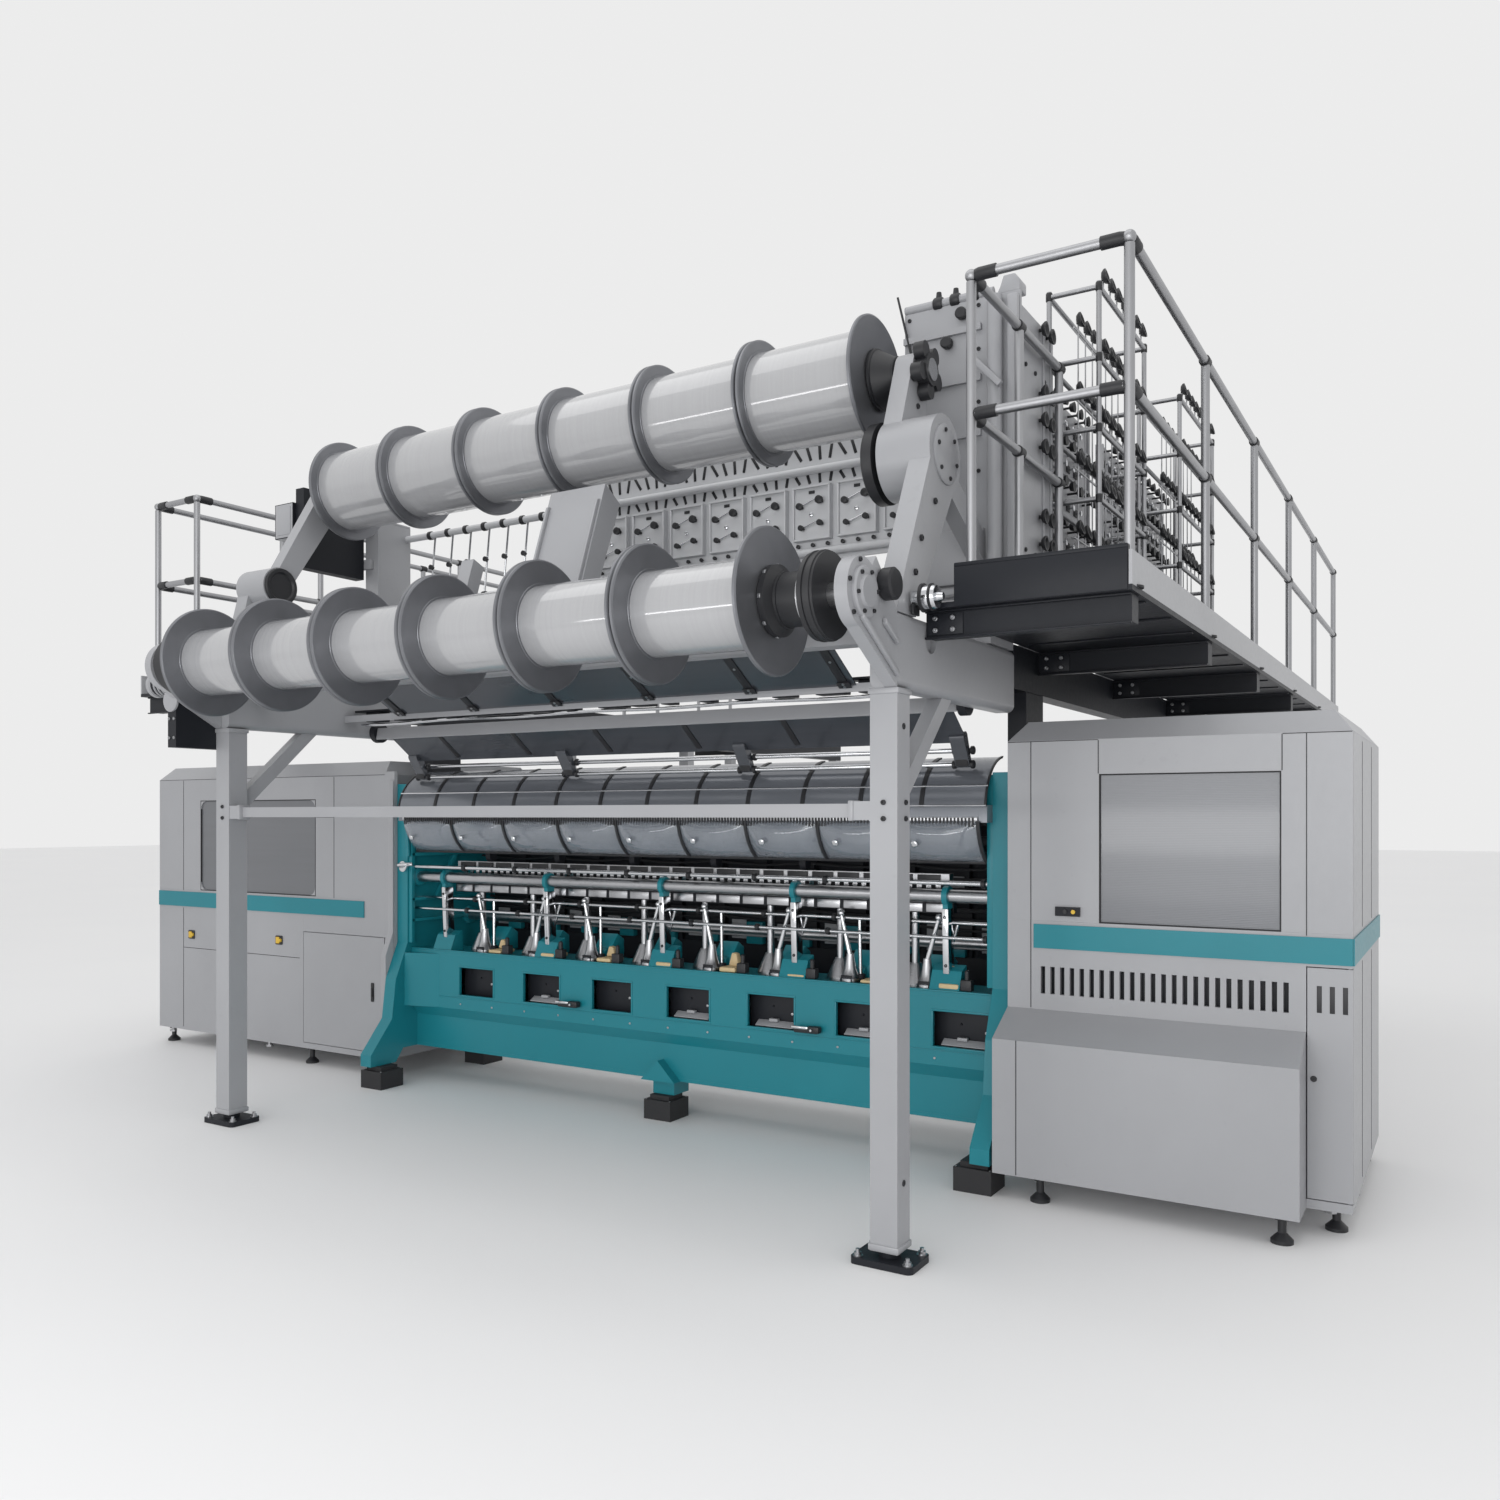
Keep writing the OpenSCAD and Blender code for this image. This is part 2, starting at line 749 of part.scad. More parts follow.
// Open-backed tower of plates that carries the guide panel on the right
module right_tower() {
    t = tower_t;
    rib_z = [up_z - 180, up_z + 60, up_z + 280];
    tube_d = 40;
    color(light) {
        block([tower_x0, tower_y0, tower_z0], [tower_x1, tower_y0 + t, tower_z1]);
        for (x = [tower_x0, tower_x1 - t])
            block([x, tower_y0 + t + seat, tower_z0], [x + t, tower_y1, tower_z1 - 60]);
        block([tower_x0 + t + seat, tower_y0 + t + seat, tower_z0],
              [tower_x1 - t - seat, tower_y1, tower_z0 + t]);
        block([side_x0, tower_y0 + 10, side_z1 + seat], [side_x1, side_back - 10, tower_z0 - seat]);
        rod_x(tube_d, tower_x0, tower_x1 - 120, tower_y0 + t / 2, tower_z1 + tube_d / 2 + seat);
        rod_z(64, tower_z0, tower_z1 - 20, tower_x1 - 100, tower_y0 - 32 - seat);
        for (z = rib_z) block([tower_x0, tower_y0 - 18, z], [tower_x1 - 170, tower_y0 - seat, z + 28]);
    }
}

// Plain column that carries the guide panel on the left
module left_tower() {
    color(light) block([-side_x1, left_tower_y[0], side_z1 + seat], [-side_x0, left_tower_y[1], up_z - 40]);
}

module towers() {
    right_tower();
    left_tower();
}

// Guide panel with its cells and the two tubes that hang it between the towers
module guide_panel() {
    x1 = tower_x0 - seat;
    pitch = (x1 - panel_x0) / cell_n;
    tube_d = 40;
    tube_y = panel_y - tube_d / 2 - seat;
    color(light) {
        block([panel_x0, panel_y, panel_z0], [x1, panel_y + 18, panel_z1]);
        for (z = panel_tube_z) rod_x(tube_d, -side_x0 + seat, x1, tube_y, z);
        for (i = [0 : cell_n - 1])
            block([panel_x0 + i * pitch + 20, panel_y - 26, panel_z0 + 100],
                  [panel_x0 + (i + 1) * pitch - 20, panel_y - seat, cell_z1]);
    }
}

// Sheet-metal casing of the drive side: walls, front panels, lower box and cap
module right_cabinet() {
    t = panel_t;
    x0 = right_x0;
    x1 = right_x1;
    y0 = right_y0;
    y1 = right_y1;
    z0 = cabinet_bottom;
    top = right_cabinet_top - cap_h;
    wall_y = y0 + t + 2 * door_gap;
    slope = 110;
    vent_w = 20;
    vent_z = [right_box_z + 70, right_box_z + 190];
    vent_pitch = (right_seam - x0 - 190) / vent_n;
    color(light) {
        block([x0, wall_y, z0], [x1, y1, z0 + t]);
        difference() {
            block([x0, wall_y, z0 + t + seat], [x0 + t, y1 - t - seat, top - seat]);
            rod_x(main_shaft_d + 30, x0 - 1, x0 + t + 1, shaft_y, shaft_z);
        }
        block([x1 - t, wall_y, z0 + t + seat], [x1, y1 - t - seat, top - seat]);
        block([x0, y1 - t, z0 + t + seat], [x1, y1, top - seat]);
        difference() {
            block([x0, y0, right_box_z + seat], [right_seam, y0 + t, window_gap_z[0] - seat]);
            for (i = [0 : vent_n - 1])
                block([x0 + 150 + i * vent_pitch, y0 - 1, vent_z[0]],
                      [x0 + 150 + i * vent_pitch + vent_w, y0 + t + 1, vent_z[1]]);
        }
        block([x0, y0, window_gap_z[0]], [window_gap_x[0], y0 + t, top - seat]);
        block([window_gap_x[1], y0, window_gap_z[0]], [x1, y0 + t, top - seat]);
        block([window_gap_x[0] + seat, y0, window_gap_z[1]], [window_gap_x[1] - seat, y0 + t, top - seat]);
        difference() {
            block([right_seam + seat, y0, service_door_z1() + door_gap],
                  [x1, y0 + t, window_gap_z[0] - seat]);
            pin_hole(x1 - hinge_inset, y0 + hinge_inset, service_door_z1());
        }
        difference() {
            block([right_seam + seat, y0, z0], [x1, y0 + t, z0 + sill_h]);
            pin_hole(x1 - hinge_inset, y0 + hinge_inset, z0 + sill_h);
        }
        block([x0, right_box_y, z0], [right_seam, right_box_y + t, right_box_z - slope]);
        block([x0 + t + seat, right_box_y + t + seat, z0], [right_seam - t - seat, wall_y - seat, z0 + t]);
        along_x(x0, right_seam) polygon([
            [right_box_y, right_box_z - slope + seat], [right_box_y + t, right_box_z - slope + seat],
            [y0 - seat, right_box_z - t], [y0 - seat, right_box_z]
        ]);
        for (x = [x0, right_seam - t]) along_x(x, x + t) polygon([
            [right_box_y + t + seat, z0], [y0 - seat, z0], [y0 - seat, right_box_z - t - 2 * seat],
            [right_box_y + t + seat, right_box_z - slope - seat]
        ]);
        hull() {
            block([x0, y0, top], [x1, y1, top + 1]);
            block([x0 + 70, y0 + 80, top + cap_h - 1], [x1 - 70, y1 - 60, top + cap_h]);
        }
    }
}

// Height of the service door's top, under the coloured band
function service_door_z1() = band_z - 15;
// Hinge edge of the left door, clear of the trim strip beside it
function left_hinge_x() = left_x1 - 2 * door_gap;
sill_h = 36;
hinge_pin_d = 12;
hinge_pin_l = 24;

// Bore for a hinge pin, through the gap at a door's top or bottom edge
module pin_hole(x, y, z) {
    rod_z(hinge_pin_d + 2 * run_gap, z - hinge_pin_l - 2, z + door_gap + hinge_pin_l + 2, x, y);
}

// Sheet-metal casing of the control side
module left_cabinet() {
    t = panel_t;
    x0 = left_x0;
    x1 = left_x1;
    y0 = left_y0;
    y1 = left_y1;
    z0 = cabinet_bottom;
    top = left_cabinet_top - cap_h;
    wall_y = y0 + t + 2 * door_gap;
    door_x = left_door_x0 - door_gap;
    color(light) {
        block([x0, wall_y, z0], [x1, y1, z0 + t]);
        for (x = [x0, x1 - t]) block([x, wall_y, z0 + t + seat], [x + t, y1 - t - seat, top - seat]);
        block([x0, y1 - t, z0 + t + seat], [x1, y1, top - seat]);
        block([x0, y0, z0], [door_x, y0 + t, left_gap_z[0] - seat]);
        difference() {
            block([door_x + seat, y0, left_door_z1 + door_gap], [x1, y0 + t, left_gap_z[0] - seat]);
            pin_hole(left_hinge_x() - hinge_inset, y0 + hinge_inset, left_door_z1);
        }
        difference() {
            block([door_x + seat, y0, z0], [x1, y0 + t, z0 + sill_h]);
            pin_hole(left_hinge_x() - hinge_inset, y0 + hinge_inset, z0 + sill_h);
        }
        block([x0, y0, left_gap_z[0]], [left_gap_x[0], y0 + t, top - seat]);
        block([left_gap_x[1], y0, left_gap_z[0]], [x1, y0 + t, top - seat]);
        block([left_gap_x[0] + seat, y0, left_gap_z[1]], [left_gap_x[1] - seat, y0 + t, top - seat]);
        block([x1 + seat, y0, z0 + sill_h], [-frame_x1 - seat, y0 + t, top + 20]);
        hull() {
            block([x0, y0, top], [x1, y1, top + 1]);
            block([x0 + 70, y0 + 80, top + cap_h - 1], [x1 - 40, y1 - 60, top + cap_h]);
        }
    }
}

// Frosted window panels, set back in the cabinet fronts
module cabinet_windows() {
    set_back = 8;
    pane_t = 8;
    color(glass) {
        block([window_gap_x[0] + seat, right_y0 + set_back, window_gap_z[0] + seat],
              [window_gap_x[1] - seat, right_y0 + set_back + pane_t, window_gap_z[1] - seat]);
        block([left_gap_x[0] + seat, left_y0 + set_back, left_gap_z[0] + seat],
              [left_gap_x[1] - seat, left_y0 + set_back + pane_t, left_gap_z[1] - seat]);
    }
}

// Door leaf with hinge pins at its top and bottom right corners
module door(x0, x1, y0, z0, z1) {
    block([x0, y0, z0 + door_gap], [x1, y0 + panel_t, z1]);
    rod_z(hinge_pin_d, z0 - hinge_pin_l, z1 + door_gap + hinge_pin_l, x1 - hinge_inset, y0 + hinge_inset);
}

module service_door() {
    color(light) door(right_seam + door_gap, right_x1, right_y0, cabinet_bottom + sill_h, service_door_z1());
}

module left_door() {
    color(light) door(left_door_x0, left_hinge_x(), left_y0, cabinet_bottom + sill_h, left_door_z1);
}

// Coloured bands across the cabinet fronts and round the right-hand side
module cabinet_bands() {
    left_z = band_z - 70;
    color(teal) {
        block([right_x0 + 120, right_y0 - band_t - seat, band_z],
              [right_x1, right_y0 - seat, band_z + band_h]);
        block([right_x1 + seat, right_y0, band_z], [right_x1 + seat + band_t, right_y1, band_z + band_h]);
        block([left_x0, left_y0 - band_t - seat, left_z], [left_x1 - 190, left_y0 - seat, left_z + band_h]);
    }
}

// Levelling feet of the cabinets
module cabinet_feet() {
    h = cabinet_bottom - seat;
    inset = 70;
    right_feet = [
        [right_x0 + 190, right_box_y + inset], [right_seam - inset, right_box_y + inset],
        [right_x1 - inset, right_y0 + 2 * inset], [right_x1 - inset, right_y0 + cabinet_depth / 2],
        [right_x1 - inset, right_y1 - inset], [right_x0 + inset, right_y1 - inset]
    ];
    left_feet = [
        for (x = [left_x0 + inset, left_door_x0, left_x1 - inset])
            for (y = [left_y0 + inset, left_y1 - inset]) [x, y]
    ];
    color(black) for (p = concat(right_feet, left_feet)) translate([p[0], p[1], 0])
        rotate_extrude() polygon([
            [0, 0], [42, 0], [42, 14], [16, 40], [16, h - 18], [30, h - 18], [30, h], [0, h]
        ]);
}

// Small operating plate on the right cabinet, with bores for its buttons
button_d = 18;
plate_x = [window_gap_x[0] - 187, window_gap_x[0] - 80];
button_at = [for (i = [0, 1]) [plate_x[0] + 44 + 36 * i, band_z + band_h + 60]];
plate_t = 12;
module control_plate() {
    y1 = right_y0 - seat;
    color(dark) difference() {
        block([plate_x[0], y1 - plate_t, button_at[0][1] - 20], [plate_x[1], y1, button_at[0][1] + 20]);
        for (p = button_at) rod_y(button_d + 2 * run_gap, y1 - plate_t - 1, y1 + 1, p[0], p[1]);
    }
}

module button(i) {
    y = right_y0 - seat - plate_t;
    rod_y(button_d, y - 7, y + 7, button_at[i][0], button_at[i][1]);
}

module start_button() {
    color(black) button(0);
}

module stop_button() {
    color("#d8b400") button(1);
}

// Main shaft with its eccentrics, running from the left frame into the motor
motor_x0 = right_x0 + 110;
motor_l = 380;
module main_shaft() {
    throw = 9;
    disc_d = main_shaft_d + 50;
    color(steel) {
        rod_x(main_shaft_d, -(frame_x1 - 5), motor_x0 + 150, shaft_y, shaft_z);
        for (s = rod_stations()) rod_x(disc_d, s - 30, s + 30, shaft_y, shaft_z + throw);
    }
}

// Main motor on its pedestal inside the right cabinet
module main_motor() {
    r = 180;
    color(dark) difference() {
        union() {
            rod_x(2 * r, motor_x0, motor_x0 + motor_l, shaft_y, shaft_z);
            block([motor_x0 + 30, shaft_y - r, cabinet_bottom + panel_t + seat],
                  [motor_x0 + motor_l - 30, shaft_y + r, shaft_z - r / 2]);
        }
        rod_x(main_shaft_d + 2 * run_gap, motor_x0 - 1, motor_x0 + 160, shaft_y, shaft_z);
    }
}

// Push rods that lift the needle bar
module push_rods() {
    color(steel) for (s = rod_stations()) rod_z(push_rod_d, shaft_z + 95, needle_z - seat, s, shaft_y);
}

module needle_bar() {
    w = 44;
    color(dark) block([-half_w, shaft_y - w / 2, needle_z], [half_w, shaft_y + w / 2, needle_z + needle_h]);
}

// Rocker shaft with the arms that swing the guide bar
module guide_rocker() {
    arm_n = 6;
    arm_t = 36;
    end = frame_x1 - 5;
    color(dark) {
        rod_x(rocker_d, -end, end, rocker_y, rocker_z);
        for (i = [0 : arm_n - 1]) {
            x = (i - (arm_n - 1) / 2) * 2 * half_w / arm_n;
            along_x(x - arm_t / 2, x + arm_t / 2)
                link2d([rocker_y, rocker_z], [guide_y, guide_z], 60, guide_end_r);
        }
    }
}

// Guide bar that shogs sideways under the rocker's arms
guide_end_r = 30;
module guide_bar() {
    w = 52;
    h = 46;
    z1 = guide_z - guide_end_r - seat;
    color(steel) block([-(half_w - 20), guide_y - w / 2, z1 - h], [half_w - 20, guide_y + w / 2, z1]);
}

module roller(y, z) {
    end = frame_x1 - 5;
    rod_x(roller_d, -end, end, y, z);
}

module front_roller() {
    color(steel) roller(roller_y, roller_z);
}

module rear_roller() {
    color(steel) roller(rear_roller_y, rear_roller_z);
}

// Hinged dust shield: sheet, hinge rod, hangers and the two rails along its edge
module front_shield() {
    x = shield_half;
    axis = [shield_y, shield_z];
    rails = [axis + [255, -196], axis + [255, -261]];
    hanger_n = 4;
    hanger_w = 70;
    color(dark) {
        rod_x(hinge_rod_d, -(side_x0 - 5), side_x0 - 5, shield_y, shield_z);
        along_x(-x, x) bar2d(axis, axis + [215, -160], 6);
        for (p = rails) rod_x(shield_rail_d, -x, x, p[0], p[1]);
        for (i = [0 : hanger_n - 1]) {
            s = (i - (hanger_n - 1) / 2) * (2 * x - hanger_w) / (hanger_n - 1);
            along_x(s - hanger_w / 2, s + hanger_w / 2) link2d(axis + [190, -138], rails[1], 26, 14);
        }
    }
}

// Fixed dust shield behind the lower beam, with the rail along its lower edge
module upper_shield() {
    x = side_x0 - seat;
    sheet_x = half_w - 190;
    edge = [shield_y - 226, side_z0 + 96];
    rail = [34, 26];
    color(dark) {
        along_x(-sheet_x, sheet_x) bar2d(edge + [-434, 272], edge + [-4, 4], 6);
        along_x(-x, x) translate(edge - rail / 2) square(rail);
    }
}

// Curved shell profile about the covers' axis
module shell2d(r, t, a0, a1) {
    far = 3 * r;
    translate([cover_y, cover_z]) intersection() {
        difference() {
            circle(r);
            circle(r - t);
        }
        polygon([[0, 0], for (a = [a0, (a0 + a1) / 2, a1]) far * [cos(a), sin(a)]]);
    }
}

// Curved cover segments on their rail between the side frames
module cover_panels() {
    x = frame_x0 - seat;
    pitch = 2 * x / cover_n;
    rail_h2 = 40;
    rail_y = cover_y - sqrt(pow(cover_r - cover_t, 2) - pow(rail_h2, 2)) + seat;
    end_t = 40;
    rail_x = x - end_t - seat;
    color(dark) {
        block([-rail_x, rail_y, cover_z - rail_h2], [rail_x, rail_y + 20, cover_z + rail_h2]);
        both_sides() block([x - end_t, rail_y, cover_z - rail_h2], [x, frame_front + 60, cover_z + rail_h2]);
        for (i = [0 : cover_n - 1])
            along_x(-x + i * pitch + 4, -x + (i + 1) * pitch - 4) shell2d(cover_r, cover_t, 98, 174);
    }
}

// Clear curved shields below the covers
module clear_shields() {
    x = frame_x0 - 40;
    pitch = 2 * x / clear_n;
    color(glass) for (i = [0 : clear_n - 1])
        along_x(-x + i * pitch + 8, -x + (i + 1) * pitch - 8) shell2d(cover_r, cover_t, 186, 236);
}

// Longitudinal beams behind the side beams and the cross beams under the decks
module gallery_beams() {
    cross_w = 90;
    cross_h = 100;
    color(dark) {
        both_sides() block([side_x0 + 10, side_back + seat, gallery_z0],
                           [side_x1, gallery_y1 + 50, gallery_z1]);
        for (y = bays)
            block([side_x1 + seat, y - cross_w / 2, gallery_z1 - cross_h],
                  [right_out + 20, y + cross_w / 2, gallery_z1]);
        for (y = left_bays)
            block([left_out - 20, y - cross_w / 2, gallery_z1 - cross_h],
                  [-side_x1 - seat, y + cross_w / 2, gallery_z1]);
    }
}

module gallery_decks() {
    front = gallery_y0 - deck_nose;
    kick_h = 140;
    color(dark) {
        block([side_x1 + 9, front, deck_z0], [right_out + edge, gallery_y1 + 60, deck_z1]);
        block([right_in - 30, front, deck_z1 + seat],
              [right_out + edge - 14, front + 24, deck_z1 + kick_h]);
        block([left_out - edge, left_gallery_y0 - deck_nose, deck_z0], [left_in + edge, gallery_y1 + 60, deck_z1]);
    }
}

// Toe boards along the outer edges of the decks
module toe_boards() {
    h = 120;
    color(light) {
        block([right_out + edge - 12, gallery_y0 - deck_nose, deck_z1 + seat],
              [right_out + edge, gallery_y1 + 60, deck_z1 + h]);
        block([left_out - edge, left_gallery_y0 - deck_nose, deck_z1 + seat],
              [left_out - edge + 12, gallery_y1 + 60, deck_z1 + h]);
    }
}

// One line of rail along Y with posts at the given stations and a knuckle at its front corner
knuckle_d = 48;
module rail_line(x, ys) {
    top = deck_z1 + rail_h;
    mid = deck_z1 + mid_rail_h;
    last = len(ys) - 1;
    clear = rail_d / 2 + seat;
    translate([x, ys[0], top]) sphere(d = knuckle_d);
    rod_y(rail_d, ys[0] + knuckle_d / 2 + seat, ys[last] + rail_d / 2, x, top);
    for (i = [0 : last]) {
        head = i == 0 ? knuckle_d / 2 + seat : clear;
        rod_z(rail_d, deck_z1 + seat, top - head, x, ys[i]);
    }
    for (i = [1 : last]) rod_y(rail_d, ys[i - 1] + clear, ys[i] - clear, x, mid);
}

// Bars across the front of a gallery, between its two rail lines
module rail_front(x0, x1, y) {
    top = deck_z1 + rail_h;
    mid = deck_z1 + mid_rail_h;
    rod_x(rail_d, x0 + knuckle_d / 2 + seat, x1 - knuckle_d / 2 - seat, y, top);
    rod_x(rail_d, x0 + rail_d / 2 + seat, x1 - rail_d / 2 - seat, y, mid);
}

module guard_rails() {
    inner_end = wall_spans[0][0] - 40;
    color(steel) {
        rail_line(right_out, bays);
        rail_line(right_in, [gallery_y0, (gallery_y0 + inner_end) / 2, inner_end]);
        rail_front(right_in, right_out, gallery_y0);
        rail_line(left_out, left_bays);
        rail_line(left_in, left_bays);
        rail_front(left_out, left_in, left_gallery_y0);
    }
}

// Floor posts under the back of the gallery
module rear_posts() {
    plate = 240;
    plate_t = 20;
    inner_x = (side_x0 + side_x1 + 10) / 2;
    rows = [bays[ceil(bay_n / 2)], bays[bay_n]];
    color(light) for (y = rows, p = [
        [inner_x, gallery_z0], [-inner_x, gallery_z0], [left_in, gallery_z1 - 100]
    ]) {
        block([p[0] - plate / 2, y - plate / 2, 0], [p[0] + plate / 2, y + plate / 2, plate_t]);
        block([p[0] - post_w / 2 + 10, y - post_w / 2 + 10, 0],
              [p[0] + post_w / 2 - 10, y + post_w / 2 - 10, p[1] - seat]);
    }
}

// Open tube frames that hold the yarn creel
module creel_racks() {
    d = 24;
    levels = 5;
    clear = d / 2 + seat;
    z0 = deck_z1 + seat;
    z1 = up_z + 600;
    step = (z1 - z0 - d) / levels;
    color(steel) for (span = rack_spans) {
        for (x = rack_x, y = span) rod_z(d, z0, z1, x, y);
        for (i = [1 : levels]) {
            z = z0 + i * step;
            for (y = span) rod_x(d, rack_x[0] + clear, rack_x[1] - clear, y, z);
            for (x = rack_x) rod_y(d, span[0] + clear, span[1] - clear, x, z);
        }
    }
}

// Panels along the creel that hold the yarn guides
module guide_walls() {
    color(light) for (span = wall_spans)
        block([wall_x0, span[0], gallery_z1 + seat], [wall_x0 + wall_t, span[1], wall_z1]);
}

// Cup-shaped yarn guides in rows on the creel panels
module yarn_guides() {
    col_pitch = 130;
    row_n = 6;
    stem_l = 46;
    cup_r = 27;
    z0 = deck_z1 + 260;
    row_pitch = (wall_z1 - cup_r - 3 - z0) / (row_n - 1);
    color(black) for (span = wall_spans, y = [span[0] + 60 : col_pitch : span[1] - 40], row = [0 : row_n - 1])
        turned_x([[0, 0], [6, 0], [6, stem_l], [20, stem_l + 8], [cup_r, stem_l + 30], [0, stem_l + 30]],
                 wall_x0 + wall_t + seat, y, z0 + row * row_pitch);
}

front_girder();
side_frame_left();
side_frame_right();
frame_heads();
machine_pads();
rod_bosses();
roller_stands();
front_posts();
post_feet();
post_braces();
tie_bar();
side_beams();
beam_brackets();
upper_arms();
centre_support();
lower_beam_shaft();
lower_beam_flanges();
lower_beam_yarn();
lower_beam_hubs();
upper_beam_shaft();
upper_beam_flanges();
upper_beam_yarn();
upper_beam_hubs();
star_knob();
lock_knob();
let_off_wheel();
let_off_drives();
towers();
guide_panel();
right_cabinet();
left_cabinet();
cabinet_windows();
service_door();
left_door();
cabinet_bands();
cabinet_feet();
control_plate();
start_button();
stop_button();
main_shaft();
main_motor();
push_rods();
needle_bar();
guide_rocker();
guide_bar();
front_roller();
rear_roller();
front_shield();
upper_shield();
cover_panels();
clear_shields();
gallery_beams();
gallery_decks();
toe_boards();
guard_rails();
rear_posts();
creel_racks();
guide_walls();
yarn_guides();
rear_guard();
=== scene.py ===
"""Looks of a raschel warp knitting machine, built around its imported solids.

Every length is in metres, in the frame of the solids: X to the machine's right, Y to its back, Z up.
"""
import logging
import math
import random
from dataclasses import dataclass
from enum import Enum
from functools import cached_property
from typing import Iterator, Optional, Sequence, Union

import bmesh
import bpy
from mathutils import Matrix, Vector


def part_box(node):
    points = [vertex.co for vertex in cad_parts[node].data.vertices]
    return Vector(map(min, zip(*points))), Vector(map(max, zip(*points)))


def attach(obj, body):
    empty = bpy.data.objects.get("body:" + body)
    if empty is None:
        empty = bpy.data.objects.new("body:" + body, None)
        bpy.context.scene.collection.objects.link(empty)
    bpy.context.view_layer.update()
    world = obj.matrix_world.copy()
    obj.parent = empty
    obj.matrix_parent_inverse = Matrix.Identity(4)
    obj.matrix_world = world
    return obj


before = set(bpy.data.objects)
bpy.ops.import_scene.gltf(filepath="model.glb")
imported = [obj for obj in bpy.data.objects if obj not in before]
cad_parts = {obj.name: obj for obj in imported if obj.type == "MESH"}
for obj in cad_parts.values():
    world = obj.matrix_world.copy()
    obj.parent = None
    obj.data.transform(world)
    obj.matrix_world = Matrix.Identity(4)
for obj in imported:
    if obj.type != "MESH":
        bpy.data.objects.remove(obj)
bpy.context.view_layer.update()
LOG = logging.getLogger("machine")
Point = Sequence[float]
Colour = tuple[float, float, float]
Span = tuple[float, float]
Opening = tuple[Span, Span, float]
ROOT = "machine"
RIGHT, LEFT = (1, 0, 0), (-1, 0, 0)
FRONT, BACK = (0, -1, 0), (0, 1, 0)
UP = (0, 0, 1)
SHARP_EDGE = 0.6  # radians; edges that turn more are rounded
SMOOTH_TURN = math.radians(34)  # faces that turn less are shaded as one
POINT_R = 1e-5  # radius that stands for a point


class Value:
    """A shader value that Python's operators can work on."""

    def __init__(self, graph: "Graph", socket: bpy.types.NodeSocket) -> None:
        """Wraps one output socket of a graph."""
        self.graph = graph
        self.socket = socket

    def _math(self, operation: str, first: "Operand", second: "Operand") -> "Value":
        """Adds one Math node."""
        return self.graph.node("Math", {"operation": operation}, {0: first, 1: second})

    def __add__(self, other: "Operand") -> "Value":
        """Sum."""
        return self._math("ADD", self, other)

    def __radd__(self, other: "Operand") -> "Value":
        """Sum, reflected."""
        return self._math("ADD", other, self)

    def __sub__(self, other: "Operand") -> "Value":
        """Difference."""
        return self._math("SUBTRACT", self, other)

    def __rsub__(self, other: "Operand") -> "Value":
        """Difference, reflected."""
        return self._math("SUBTRACT", other, self)

    def __mul__(self, other: "Operand") -> "Value":
        """Product."""
        return self._math("MULTIPLY", self, other)

    def __rmul__(self, other: "Operand") -> "Value":
        """Product, reflected."""
        return self._math("MULTIPLY", other, self)

    def __pow__(self, other: "Operand") -> "Value":
        """Power."""
        return self._math("POWER", self, other)

    def sine(self) -> "Value":
        """Sine of an angle in radians."""
        return self.graph.node("Math", {"operation": "SINE"}, {0: self})

    def above(self, edge: float) -> "Value":
        """One where the value is above an edge, otherwise zero."""
        return self.graph.node("Math", {"operation": "GREATER_THAN"}, {0: self, 1: edge})


Operand = Union[Value, float]


